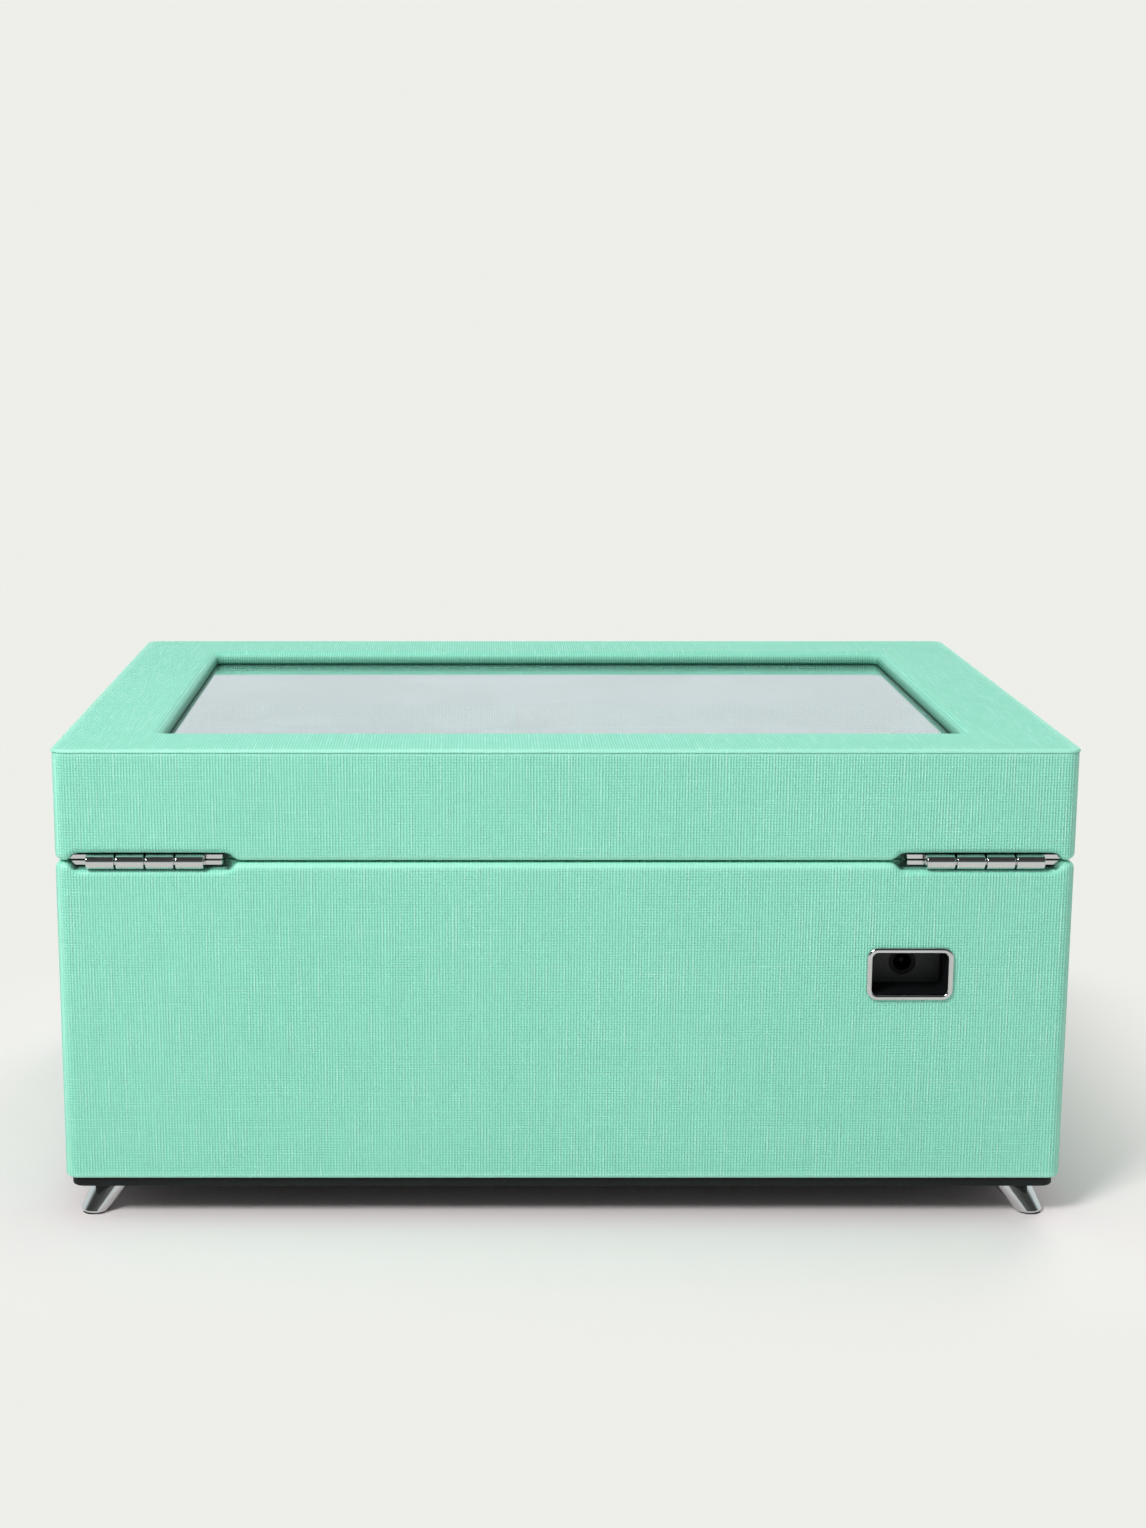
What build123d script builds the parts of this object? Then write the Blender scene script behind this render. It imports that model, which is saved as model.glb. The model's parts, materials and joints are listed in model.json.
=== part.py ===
from build123d import *

import os
from math import cos, hypot, radians, sin, sqrt, tan

# Watch and jewellery box with a glass lid.
# A leatherette-covered box stands on four splayed feet. The lid is hinged along the rear edge and has a
# glass pane. One bay holds a tilted watch winder, fed through a framed port in the rear wall, and the
# other side holds watch cushions, ring rolls and an open tray.
# Millimetres. +Z is up, the front faces -Y, and the origin is on the floor under the middle of the box.

# Outside of the box and lid
BOX_WIDTH = 300.0
BOX_DEPTH = 216.0
BODY_HEIGHT = 97.7
LID_HEIGHT = 33.3
SEAM_GAP = 0.6
CORNER_RADIUS = 4.0
SEAM_EDGE_ROUND = 2.0
LOWER_EDGE_ROUND = 1.2

# Sheets and boards
COVER = 1.0
BOARD = 10.0
LINING = 1.0
FLOOR_BOARD = 8.0
BODY_TURN_IN = 14.0
LID_TURN_IN = 8.0

# Gaps and cuts
FIT = 0.1
RUNNING_FIT = 0.05
REST_GAP = 0.3
OVERRUN = 5.0
NEAR = 0.001

# Base plate and its screws
COUNTERSINK_ANGLE = 90.0
PLATE = 3.0
PLATE_INSET = 1.6
PLATE_EDGE_ROUND = 0.4
BASE_SCREW_RADIUS = 1.5
BASE_SCREW_HEAD_RADIUS = 3.0
BASE_SCREW_LENGTH = 9.0
BASE_SCREW_SIDE_INSET = 23.0
BASE_SCREW_END_INSET = 22.0
BASE_SCREW_COLUMN_COUNT = 3

# Feet
FOOT_HEIGHT = 9.5
FOOT_TOP_RADIUS = 6.8
FOOT_BOTTOM_RADIUS = 4.2
FOOT_INSET = 7.4
FOOT_LEAN = 6.5
FOOT_EDGE_ROUND = 0.5
FOOT_PAD = 0.5
FOOT_PAD_RADIUS = 3.4
FOOT_SCREW_RADIUS = 1.6
FOOT_SCREW_HEAD_RADIUS = 3.2
FOOT_SCREW_LENGTH = 8.0
FOOT_SCREW_LEAN_SHARE = 0.3

# Rear port
PORT_FROM_SIDE = 47.8
PORT_BELOW_RIM = 33.5
PORT_WIDTH = 22.2
PORT_HEIGHT = 12.6
PORT_CORNER = 1.6
PORT_SLEEVE_WALL = 0.9
BEZEL_RIM = 1.8
BEZEL_PROUD = 1.2
BEZEL_ROUND = 0.85

# Hinges and their pockets
HINGE_FROM_SIDE = 26.75
HINGE_SETBACK = 1.0
KNUCKLE_RADIUS = 2.2
KNUCKLE_LENGTH = 8.75
KNUCKLE_GAP = 0.5
KNUCKLE_EDGE_ROUND = 0.3
KNUCKLE_COUNT = 4
HINGE_PIN_RADIUS = 1.1
LEAF_LENGTH = 45.6
LEAF_THICKNESS = 1.2
LEAF_REACH = 9.0
LEAF_SETBACK = 0.4
LEAF_CORNER = 1.0
POCKET_RISE = 2.55
POCKET_DEPTH = 4.4
POCKET_INNER_REACH = 28.5
POCKET_INNER_BLEND = 5.7
POCKET_OUTER_INSET = 2.8
POCKET_OUTER_BLEND = 4.6
HINGE_SCREW_RADIUS = 1.0
HINGE_SCREW_HEAD_RADIUS = 1.9
HINGE_SCREW_LENGTH = 8.0
HINGE_SCREW_SPACING = 16.0
HINGE_SCREW_COUNT = 3
HINGE_SCREW_INSET = 3.2

# Lock
LOCK_BELOW_RIM = 13.7
LOCK_CASE_RADIUS = 7.0
LOCK_FLANGE_RADIUS = 9.0
LOCK_FLANGE = 1.2
LOCK_FLANGE_ROUND = 0.7
LOCK_NUT_RADIUS = 9.5
LOCK_NUT = 2.0
LOCK_NUT_SIDE_COUNT = 6
LOCK_BARREL_RADIUS = 5.0
LOCK_TAIL_RADIUS = 2.5
KEY_SLOT_WIDTH = 1.4
KEY_SLOT_LENGTH = 6.0
KEY_SLOT_DEPTH = 5.0
HOOK_THICKNESS = 2.0
HOOK_HUB_RADIUS = 5.0
HOOK_GAP = 0.4
HOOK_BAND = 3.0
HOOK_ARM_WIDTH = 4.0
HOOK_LOW_ANGLE = -50.0
HOOK_HIGH_ANGLE = 32.0
STRIKE_PLATE_WIDTH = 22.0
STRIKE_PLATE_HEIGHT = 9.0
STRIKE_PLATE = 1.2
STRIKE_PLATE_CORNER = 1.5
STRIKE_PEG_RADIUS = 1.0
STRIKE_PEG_LENGTH = 6.0
STRIKE_PEG_RISE = 1.5

# Lid top and glass
LID_RAIL_WIDTH = 28.7
TOP_SHEET_PROUD = 0.3
TOP_EDGE_ROUND = 0.65
FOLD_LINE_ROUND = 0.3
WINDOW_CORNER = 2.5
WINDOW_EDGE_ROUND = 3.3
GLASS_DROP = 4.4
GLASS = 3.0
GLASS_LAP = 6.5
FOLD_UNDER = 4.5
RETAINER = 3.5

# Winder bay
BAY_WIDTH = 94.0
BAY_DIVIDER = 8.0
BAY_DIVIDER_BELOW_RIM = 6.7
HOUSING_GAP = 1.0
HOUSING_WALL = 2.5
HOUSING_EDGE_ROUND = 4.0
HOUSING_BOTTOM = 2.0
FACE_TILT_ANGLE = 40.0
FACE_FROM_MIDDLE = 6.0
RING_HEIGHT = 1.5
RING_WIDTH = 2.6
RING_ROUND = 0.6
DRUM_SIDE_ROOM = 9.0
DRUM_GAP = 0.8
DRUM_WALL = 2.0
DRUM_DEPTH = 40.0
DRUM_FLOOR = 2.5
DRUM_UNDER_GAP = 3.0
DRUM_RIM_ROUND = 0.8
DRUM_INNER_ROUND = 4.0
HUB_RADIUS = 8.0
HUB_HEIGHT = 2.0
SPINDLE_RADIUS = 3.0
SPINDLE_LENGTH = 10.0
BUSH_RADIUS = 6.0
BUSH_FLANGE_RADIUS = 8.0
BUSH_FLANGE = 0.7
BULKHEAD = 2.5
BULKHEAD_LENGTH = 52.0
MOTOR_RADIUS = 9.5
MOTOR_GEARBOX_LENGTH = 8.0
MOTOR_CAN_RADIUS = 8.0
MOTOR_CAN_LENGTH = 9.0
DIAL_RADIUS = 11.0
DIAL_TOP_RADIUS = 9.6
DIAL_HEIGHT = 9.0
DIAL_EDGE_ROUND = 1.0
DIAL_GRIP_COUNT = 18
DIAL_GRIP_RADIUS = 0.9
DIAL_SHAFT_RADIUS = 3.0
DIAL_SHAFT_LENGTH = 8.0
SWITCH_SIZE = 16.0
SWITCH_HEIGHT = 9.0
SOCKET_NOSE_RADIUS = 4.0
SOCKET_BODY = 11.0
SOCKET_BORE_RADIUS = 2.75
SOCKET_BORE_DEPTH = 9.0
SOCKET_PIN_RADIUS = 0.65
SOCKET_PIN_LENGTH = 7.0
DRUM_CUSHION_SIDE_GAP = 14.0
DRUM_CUSHION_GAP = 2.0
DRUM_CUSHION_HEIGHT = 45.0
DRUM_CUSHION_CORNER = 15.0

# Storage side
DECK_RISE = 28.0
DECK = 4.0
BEARER_WIDTH = 8.0
DIVIDER = 5.0
DIVIDER_BELOW_RIM = 8.7
DIVIDER_EDGE_ROUND = 1.5
WATCH_SPACE_COUNT = 3
TRAY_WIDTH = 84.0
WATCH_CUSHION_SIDE_GAP = 1.8
WATCH_CUSHION_END_GAP = 5.8
WATCH_CUSHION_HEIGHT = 38.0
WATCH_CUSHION_CORNER = 14.0
RING_ROLL_COUNT = 5
RING_ROLL_END_GAP = 2.5
RING_ROLL_WIDTH = 14.0
RING_ROLL_HEIGHT = 30.0
RING_ROLL_GAP = 1.0
RING_ROLL_END_ROUND = 2.5

# Shares of a cushion's section that its drawn-in ends keep
CUSHION_END_LENGTH_SHARE = 0.88
CUSHION_END_HEIGHT_SHARE = 0.78
MIDDLE_SHARE = 0.5

# Heights
PLATE_Z = FOOT_PAD + FOOT_HEIGHT
BODY_Z = PLATE_Z + PLATE
RIM_Z = BODY_Z + BODY_HEIGHT
LID_Z = RIM_Z + SEAM_GAP
SEAM_Z = RIM_Z + SEAM_GAP / 2
TOP_Z = LID_Z + LID_HEIGHT
FOLD_Z = TOP_Z - COVER
GLASS_TOP_Z = TOP_Z - GLASS_DROP
GLASS_Z = GLASS_TOP_Z - GLASS
FLOOR_Z = BODY_Z + FLOOR_BOARD + LINING
LINING_TOP_Z = RIM_Z - BODY_TURN_IN
DECK_Z = FLOOR_Z + DECK_RISE + DECK
LOCK_Z = RIM_Z - LOCK_BELOW_RIM
PORT_Z = RIM_Z - PORT_BELOW_RIM

# Places across the box
REAR_Y = BOX_DEPTH / 2
BOARD_OUT_WIDTH = BOX_WIDTH - 2 * COVER
BOARD_OUT_DEPTH = BOX_DEPTH - 2 * COVER
BOARD_IN_WIDTH = BOARD_OUT_WIDTH - 2 * BOARD
BOARD_IN_DEPTH = BOARD_OUT_DEPTH - 2 * BOARD
INNER_WIDTH = BOARD_IN_WIDTH - 2 * LINING
INNER_DEPTH = BOARD_IN_DEPTH - 2 * LINING
WINDOW_WIDTH = BOX_WIDTH - 2 * LID_RAIL_WIDTH
WINDOW_DEPTH = BOX_DEPTH - 2 * LID_RAIL_WIDTH
HINGE_X = BOX_WIDTH / 2 - HINGE_FROM_SIDE
HINGE_Y = REAR_Y - HINGE_SETBACK
LEAF_REAR_Y = HINGE_Y - KNUCKLE_RADIUS - LEAF_SETBACK
LEAF_FRONT_Y = HINGE_Y - LEAF_REACH
PORT_X = PORT_FROM_SIDE - BOX_WIDTH / 2
BAY_X = -INNER_WIDTH / 2 + BAY_WIDTH / 2
DRUM_RADIUS = BAY_WIDTH / 2 - DRUM_SIDE_ROOM
STORE_LEFT_X = -INNER_WIDTH / 2 + BAY_WIDTH + BAY_DIVIDER
STORE_RIGHT_X = INNER_WIDTH / 2
STORE_WIDTH = STORE_RIGHT_X - STORE_LEFT_X
STORE_X = (STORE_LEFT_X + STORE_RIGHT_X) / 2
ROW_DEPTH = (INNER_DEPTH - DIVIDER) / 2
ROW_Y = DIVIDER / 2 + ROW_DEPTH / 2

SIDES = {"left": -1, "right": 1}
ENDS = {"front": -1, "rear": 1}

os.makedirs("parts", exist_ok=True)


def finish(builder, name):
    """Label a finished piece and write it under its own name."""
    builder.part.label = name
    export_step(builder.part, f"parts/{name}.step")


def outline_edges(builder, low, high):
    """Edges of the box's outer outline that lie between two heights, pockets left out."""

    def on_outline(edge):
        middle = edge @ MIDDLE_SHARE
        past_x = abs(middle.X) - BOX_WIDTH / 2 + CORNER_RADIUS
        past_y = abs(middle.Y) - BOX_DEPTH / 2 + CORNER_RADIUS
        reach = hypot(max(past_x, 0), max(past_y, 0))
        box = edge.bounding_box()
        level = box.min.Z > low - NEAR and box.max.Z < high + NEAR
        return level and abs(reach - CORNER_RADIUS) < NEAR

    return builder.edges().filter_by(on_outline)


def hinge_pockets(edge_z, way, grow):
    """Scooped pockets for both hinge barrels in a rear edge.

    way is -1 for the box's rim and +1 for the lid's lower edge. The pocket's ends run out of the edge in
    an S of two tangent arcs. grow is how far the board's pocket stands behind the cover's.
    """
    rise = way * (POCKET_RISE - SEAM_GAP / 2 + grow)
    inner_x = HINGE_X - POCKET_INNER_REACH - grow
    outer_x = BOX_WIDTH / 2 - POCKET_OUTER_INSET + grow
    inner_deep_x = inner_x + POCKET_INNER_BLEND
    outer_deep_x = outer_x - POCKET_OUTER_BLEND
    mouth_z = edge_z - way * OVERRUN
    with BuildPart() as pockets:
        with BuildSketch(Plane.XZ.offset(-REAR_Y - OVERRUN)):
            with BuildLine():
                for edge_x, deep_x in ((inner_x, inner_deep_x), (outer_x, outer_deep_x)):
                    middle = ((edge_x + deep_x) / 2, edge_z + rise / 2)
                    inward = 1 if deep_x > edge_x else -1
                    TangentArc((edge_x, edge_z), middle, tangent=(inward, 0))
                    TangentArc((deep_x, edge_z + rise), middle, tangent=(-inward, 0))
                    Line((edge_x, edge_z), (edge_x, mouth_z))
                Line((inner_deep_x, edge_z + rise), (outer_deep_x, edge_z + rise))
                Line((inner_x, mouth_z), (outer_x, mouth_z))
            make_face()
        extrude(amount=OVERRUN + POCKET_DEPTH + grow)
        mirror(about=Plane.YZ)
    return pockets.part


def leaf_recesses(low, high):
    """Recesses for both hinge leaves, between two heights."""
    depth = LEAF_REAR_Y - LEAF_FRONT_Y
    leaf_y = (LEAF_REAR_Y + LEAF_FRONT_Y) / 2
    with BuildPart() as recesses:
        with BuildSketch(Plane.XY.offset(low)):
            with Locations((-HINGE_X, leaf_y), (HINGE_X, leaf_y)):
                Rectangle(LEAF_LENGTH + 2 * FIT, depth + 2 * FIT)
        extrude(amount=high - low)
    return recesses.part


def hinge_screw_places():
    """Places of the hinge screws, seen from above."""
    first = -(HINGE_SCREW_COUNT - 1) / 2
    return [
        (side * HINGE_X + (first + index) * HINGE_SCREW_SPACING, LEAF_FRONT_Y + HINGE_SCREW_INSET)
        for side in SIDES.values()
        for index in range(HINGE_SCREW_COUNT)
    ]


def countersunk_screws(head_plane, places, radius, head_radius, length):
    """Countersunk screws, with their heads flush with a plane and their points along its back."""
    outline = [
        (0, 0),
        (head_radius, 0),
        (radius, radius - head_radius),
        (radius, radius - length),
        (0, -length),
    ]
    with BuildPart() as screws:
        for place in places:
            head = head_plane.from_local_coords(place)
            with BuildSketch(Plane(head, x_dir=head_plane.x_dir, z_dir=-head_plane.y_dir)):
                with BuildLine():
                    Polyline(*outline, close=True)
                make_face()
            revolve(axis=Axis(head, head_plane.z_dir))
    return screws


def mitre_wedge(name):
    """Plan of one side of a mitred frame: the part of the box between two diagonals."""
    reach = BOX_DEPTH / 2
    out_x = BOX_WIDTH / 2 + OVERRUN
    out_y = BOX_DEPTH / 2 + OVERRUN
    in_x = BOX_WIDTH / 2 - reach
    if name in ENDS:
        way = ENDS[name]
        return [(-out_x, way * out_y), (-in_x, 0), (in_x, 0), (out_x, way * out_y)]
    way = SIDES[name]
    return [(way * out_x, -out_y), (way * in_x, 0), (way * out_x, out_y)]


def mitred_side(frame, name, low, high):
    """One side of a frame, cut at its mitres."""
    with BuildPart() as side:
        add(frame)
        with BuildSketch(Plane.XY.offset(low)):
            with BuildLine():
                Polyline(*mitre_wedge(name), close=True)
            make_face()
        extrude(amount=high - low, mode=Mode.INTERSECT)
    return side


def covered_form(low, high, edge_z, way):
    """Outer form of the box or the lid: a rounded block with hinge pockets and a rounded seam edge."""
    pockets = hinge_pockets(edge_z, way, 0)
    deep_z = edge_z + way * (POCKET_RISE - SEAM_GAP / 2)
    with BuildPart() as form:
        with BuildSketch(Plane.XY.offset(low)):
            RectangleRounded(BOX_WIDTH, BOX_DEPTH, CORNER_RADIUS)
        extrude(amount=high - low)
        add(pockets, mode=Mode.SUBTRACT)
        fillet(outline_edges(form, min(edge_z, deep_z), max(edge_z, deep_z)), SEAM_EDGE_ROUND)
    return form.part


def port_hole(width, height, corner):
    """A hole through the rear wall for the port."""
    with BuildPart() as hole:
        with BuildSketch(Plane.XZ.offset(-REAR_Y - OVERRUN)):
            with Locations((PORT_X, PORT_Z)):
                RectangleRounded(width, height, corner)
        extrude(amount=OVERRUN + REAR_Y - INNER_DEPTH / 2 + OVERRUN)
    return hole.part


SLEEVE_WIDTH = PORT_WIDTH + 2 * PORT_SLEEVE_WALL
SLEEVE_HEIGHT = PORT_HEIGHT + 2 * PORT_SLEEVE_WALL
SLEEVE_CORNER = PORT_CORNER + PORT_SLEEVE_WALL
sleeve_hole = port_hole(SLEEVE_WIDTH + 2 * FIT, SLEEVE_HEIGHT + 2 * FIT, SLEEVE_CORNER + FIT)

with BuildPart() as lock_hole:
    with BuildSketch(Plane.XZ.offset(BOX_DEPTH / 2 + OVERRUN)):
        with Locations((0, LOCK_Z)):
            Circle(LOCK_CASE_RADIUS + FIT)
    extrude(amount=-(OVERRUN + BOX_DEPTH / 2 - INNER_DEPTH / 2 + OVERRUN))

box_leaf_recesses = leaf_recesses(RIM_Z - LEAF_THICKNESS, RIM_Z + OVERRUN)
lid_leaf_recesses = leaf_recesses(LID_Z - OVERRUN, LID_Z + LEAF_THICKNESS)
box_board_pockets = hinge_pockets(RIM_Z, -1, COVER)
lid_board_pockets = hinge_pockets(LID_Z, 1, COVER)
body_form = covered_form(BODY_Z, RIM_Z, RIM_Z, -1)
lid_form = covered_form(LID_Z, FOLD_Z, LID_Z, 1)

base_screw_x = BOARD_IN_WIDTH / 2 - BASE_SCREW_SIDE_INSET
base_screw_y = BOARD_IN_DEPTH / 2 - BASE_SCREW_END_INSET
base_screw_pitch = 2 * base_screw_x / (BASE_SCREW_COLUMN_COUNT - 1)
base_screw_places = [
    (column * base_screw_pitch - base_screw_x, row * base_screw_y)
    for column in range(BASE_SCREW_COLUMN_COUNT)
    for row in ENDS.values()
]

# Box boards: a mitred frame, cut for the hinges, the port and the lock
with BuildPart() as box_frame:
    with BuildSketch(Plane.XY.offset(BODY_Z + COVER)):
        RectangleRounded(BOARD_OUT_WIDTH, BOARD_OUT_DEPTH, CORNER_RADIUS - COVER)
        Rectangle(BOARD_IN_WIDTH, BOARD_IN_DEPTH, mode=Mode.SUBTRACT)
    extrude(amount=BODY_HEIGHT - 2 * COVER)
    add(box_board_pockets, mode=Mode.SUBTRACT)

with BuildPart() as bored_box_frame:
    add(box_frame.part)
    add(box_leaf_recesses, mode=Mode.SUBTRACT)
    add(sleeve_hole, mode=Mode.SUBTRACT)
    add(lock_hole.part, mode=Mode.SUBTRACT)
    with BuildSketch(Plane.XY.offset(RIM_Z)):
        with Locations(*hinge_screw_places()):
            Circle(HINGE_SCREW_RADIUS + FIT)
    extrude(amount=-HINGE_SCREW_LENGTH - FIT, mode=Mode.SUBTRACT)

for side_name in ("rear", "front", "left", "right"):
    finish(mitred_side(bored_box_frame.part, side_name, BODY_Z, RIM_Z), f"{side_name}_board")

with BuildPart() as floor_board:
    with BuildSketch(Plane.XY.offset(BODY_Z)):
        Rectangle(BOARD_IN_WIDTH, BOARD_IN_DEPTH)
    extrude(amount=FLOOR_BOARD)
    with BuildSketch(Plane.XY.offset(BODY_Z)):
        with Locations(*base_screw_places):
            Circle(BASE_SCREW_RADIUS + FIT)
    extrude(amount=BASE_SCREW_LENGTH - PLATE + FIT, mode=Mode.SUBTRACT)
finish(floor_board, "floor_board")

# Leatherette cover of the box: over the outside, round the rim and a little way down the inside
with BuildPart() as body_cover:
    add(body_form)
    fillet(outline_edges(body_cover, BODY_Z, BODY_Z), LOWER_EDGE_ROUND)
    with BuildSketch(Plane.XY.offset(BODY_Z)):
        Rectangle(BOARD_IN_WIDTH, BOARD_IN_DEPTH)
    extrude(amount=BODY_HEIGHT - BODY_TURN_IN, mode=Mode.SUBTRACT)
    with BuildSketch(Plane.XY.offset(LINING_TOP_Z)):
        Rectangle(INNER_WIDTH, INNER_DEPTH)
    extrude(amount=BODY_TURN_IN + OVERRUN, mode=Mode.SUBTRACT)
    add(box_frame.part, mode=Mode.SUBTRACT)
    add(box_leaf_recesses, mode=Mode.SUBTRACT)
    add(sleeve_hole, mode=Mode.SUBTRACT)
    add(lock_hole.part, mode=Mode.SUBTRACT)
finish(body_cover, "body_cover")

with BuildPart() as wall_lining:
    with BuildSketch(Plane.XY.offset(FLOOR_Z - LINING)):
        Rectangle(BOARD_IN_WIDTH, BOARD_IN_DEPTH)
        Rectangle(INNER_WIDTH, INNER_DEPTH, mode=Mode.SUBTRACT)
    extrude(amount=LINING_TOP_Z - FLOOR_Z + LINING)
    add(sleeve_hole, mode=Mode.SUBTRACT)
    add(lock_hole.part, mode=Mode.SUBTRACT)
finish(wall_lining, "wall_lining")

with BuildPart() as floor_lining:
    with BuildSketch(Plane.XY.offset(FLOOR_Z - LINING)):
        Rectangle(INNER_WIDTH, INNER_DEPTH)
    extrude(amount=LINING)
finish(floor_lining, "floor_lining")

# Base plate, set in from the box's sides, with its screws
UNDERSIDE_PLANE = Plane(origin=(0, 0, PLATE_Z), x_dir=(1, 0, 0), z_dir=(0, 0, -1))
foot_screw_x = BOX_WIDTH / 2 - FOOT_INSET - FOOT_LEAN * (1 - FOOT_SCREW_LEAN_SHARE)
foot_screw_y = BOX_DEPTH / 2 - FOOT_INSET - FOOT_LEAN * (1 - FOOT_SCREW_LEAN_SHARE)
foot_screw_places = [(x * foot_screw_x, y * foot_screw_y) for x in SIDES.values() for y in ENDS.values()]

with BuildPart() as base_plate:
    with BuildSketch(Plane.XY.offset(PLATE_Z)):
        RectangleRounded(BOX_WIDTH - 2 * PLATE_INSET, BOX_DEPTH - 2 * PLATE_INSET, CORNER_RADIUS)
    extrude(amount=PLATE)
    fillet(base_plate.faces().sort_by(Axis.Z)[0].edges(), PLATE_EDGE_ROUND)
    with Locations(Plane.XY.offset(BODY_Z)):
        with Locations(*foot_screw_places):
            CounterSinkHole(FOOT_SCREW_RADIUS + FIT, FOOT_SCREW_HEAD_RADIUS + FIT, PLATE,
                            counter_sink_angle=COUNTERSINK_ANGLE)
    with Locations(UNDERSIDE_PLANE):
        with Locations(*base_screw_places):
            CounterSinkHole(BASE_SCREW_RADIUS + FIT, BASE_SCREW_HEAD_RADIUS + FIT, PLATE,
                            counter_sink_angle=COUNTERSINK_ANGLE)
finish(base_plate, "base_plate")

base_screws = countersunk_screws(UNDERSIDE_PLANE, base_screw_places,
                                 BASE_SCREW_RADIUS, BASE_SCREW_HEAD_RADIUS, BASE_SCREW_LENGTH)
finish(base_screws, "base_screws")

foot_screws = countersunk_screws(Plane.XY.offset(BODY_Z), foot_screw_places,
                                 FOOT_SCREW_RADIUS, FOOT_SCREW_HEAD_RADIUS, FOOT_SCREW_LENGTH)
finish(foot_screws, "foot_screws")

# Feet: oblique cones that lean out towards the corners, each on a thin pad
for end_name, end in ENDS.items():
    for side_name, side in SIDES.items():
        bottom_x = side * (BOX_WIDTH / 2 - FOOT_INSET)
        bottom_y = end * (BOX_DEPTH / 2 - FOOT_INSET)
        with BuildPart() as foot:
            with BuildSketch(Plane.XY.offset(FOOT_PAD)):
                with Locations((bottom_x, bottom_y)):
                    Circle(FOOT_BOTTOM_RADIUS)
            with BuildSketch(Plane.XY.offset(PLATE_Z)):
                with Locations((bottom_x - side * FOOT_LEAN, bottom_y - end * FOOT_LEAN)):
                    Circle(FOOT_TOP_RADIUS)
            loft(ruled=True)
            fillet(foot.faces().sort_by(Axis.Z)[0].edges(), FOOT_EDGE_ROUND)
            with Locations(Plane.XY.offset(PLATE_Z)):
                with Locations((side * foot_screw_x, end * foot_screw_y)):
                    Hole(FOOT_SCREW_RADIUS + FIT, FOOT_SCREW_LENGTH - PLATE + FIT)
        finish(foot, f"foot_{end_name}_{side_name}")

with BuildPart() as foot_pads:
    with BuildSketch():
        with GridLocations(BOX_WIDTH - 2 * FOOT_INSET, BOX_DEPTH - 2 * FOOT_INSET, len(SIDES), len(ENDS)):
            Circle(FOOT_PAD_RADIUS)
    extrude(amount=FOOT_PAD)
finish(foot_pads, "foot_pads")

# Rear port: a bright bezel on the cover and a dark sleeve through the wall
with BuildPart() as port_bezel:
    with BuildSketch(Plane.XZ.offset(-REAR_Y - BEZEL_PROUD)):
        with Locations((PORT_X, PORT_Z)):
            RectangleRounded(PORT_WIDTH + 2 * BEZEL_RIM, PORT_HEIGHT + 2 * BEZEL_RIM, PORT_CORNER + BEZEL_RIM)
            RectangleRounded(PORT_WIDTH, PORT_HEIGHT, PORT_CORNER, mode=Mode.SUBTRACT)
    extrude(amount=BEZEL_PROUD)
    fillet(port_bezel.faces().sort_by(Axis.Y)[-1].edges(), BEZEL_ROUND)
finish(port_bezel, "port_bezel")

with BuildPart() as port_sleeve:
    with BuildSketch(Plane.XZ.offset(-REAR_Y)):
        with Locations((PORT_X, PORT_Z)):
            RectangleRounded(SLEEVE_WIDTH, SLEEVE_HEIGHT, SLEEVE_CORNER)
            RectangleRounded(PORT_WIDTH, PORT_HEIGHT, PORT_CORNER, mode=Mode.SUBTRACT)
    extrude(amount=REAR_Y - INNER_DEPTH / 2)
finish(port_sleeve, "port_sleeve")


# Hinges: each leaf carries every other knuckle of its barrel
KNUCKLE_BODY = KNUCKLE_LENGTH - KNUCKLE_GAP

with BuildPart() as knuckle:
    with BuildSketch(Plane.YZ):
        Circle(KNUCKLE_RADIUS)
    extrude(amount=KNUCKLE_BODY / 2, both=True)
    fillet(knuckle.edges().filter_by(GeomType.CIRCLE), KNUCKLE_EDGE_ROUND)


def hinge_leaf(side, way, low):
    """One hinge leaf: a countersunk plate let in flush, with its own knuckles. way is -1 for the box."""
    own = 0 if way < 0 else 1
    first_x = side * (HINGE_X - KNUCKLE_COUNT * KNUCKLE_LENGTH / 2)
    face_z = low if way > 0 else low + LEAF_THICKNESS
    places = [place for place in hinge_screw_places() if place[0] * side > 0]
    with BuildPart() as leaf:
        with BuildSketch(Plane.XY.offset(low)):
            with Locations((side * HINGE_X, (LEAF_REAR_Y + LEAF_FRONT_Y) / 2)):
                RectangleRounded(LEAF_LENGTH, LEAF_REAR_Y - LEAF_FRONT_Y, LEAF_CORNER)
        extrude(amount=LEAF_THICKNESS)
        with Locations(Plane(origin=(0, 0, face_z), x_dir=(1, 0, 0), z_dir=(0, 0, -way))):
            with Locations(*[(x, -way * y) for x, y in places]):
                CounterSinkHole(HINGE_SCREW_RADIUS + FIT, HINGE_SCREW_HEAD_RADIUS + FIT, LEAF_THICKNESS,
                                counter_sink_angle=COUNTERSINK_ANGLE)
        for index in range(own, KNUCKLE_COUNT, 2):
            knuckle_x = first_x + side * (index + MIDDLE_SHARE) * KNUCKLE_LENGTH
            with BuildSketch(Plane.XY.offset(low)):
                with Locations((knuckle_x, (LEAF_REAR_Y - LEAF_CORNER + HINGE_Y) / 2)):
                    Rectangle(KNUCKLE_BODY - 2 * KNUCKLE_EDGE_ROUND, HINGE_Y - LEAF_REAR_Y + LEAF_CORNER)
            extrude(amount=LEAF_THICKNESS)
            with Locations((knuckle_x, HINGE_Y, SEAM_Z)):
                add(knuckle.part)
        with BuildSketch(Plane.YZ.offset(side * HINGE_X)):
            with Locations((HINGE_Y, SEAM_Z)):
                Circle(HINGE_PIN_RADIUS + RUNNING_FIT)
        extrude(amount=LEAF_LENGTH, both=True, mode=Mode.SUBTRACT)
    return leaf


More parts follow.
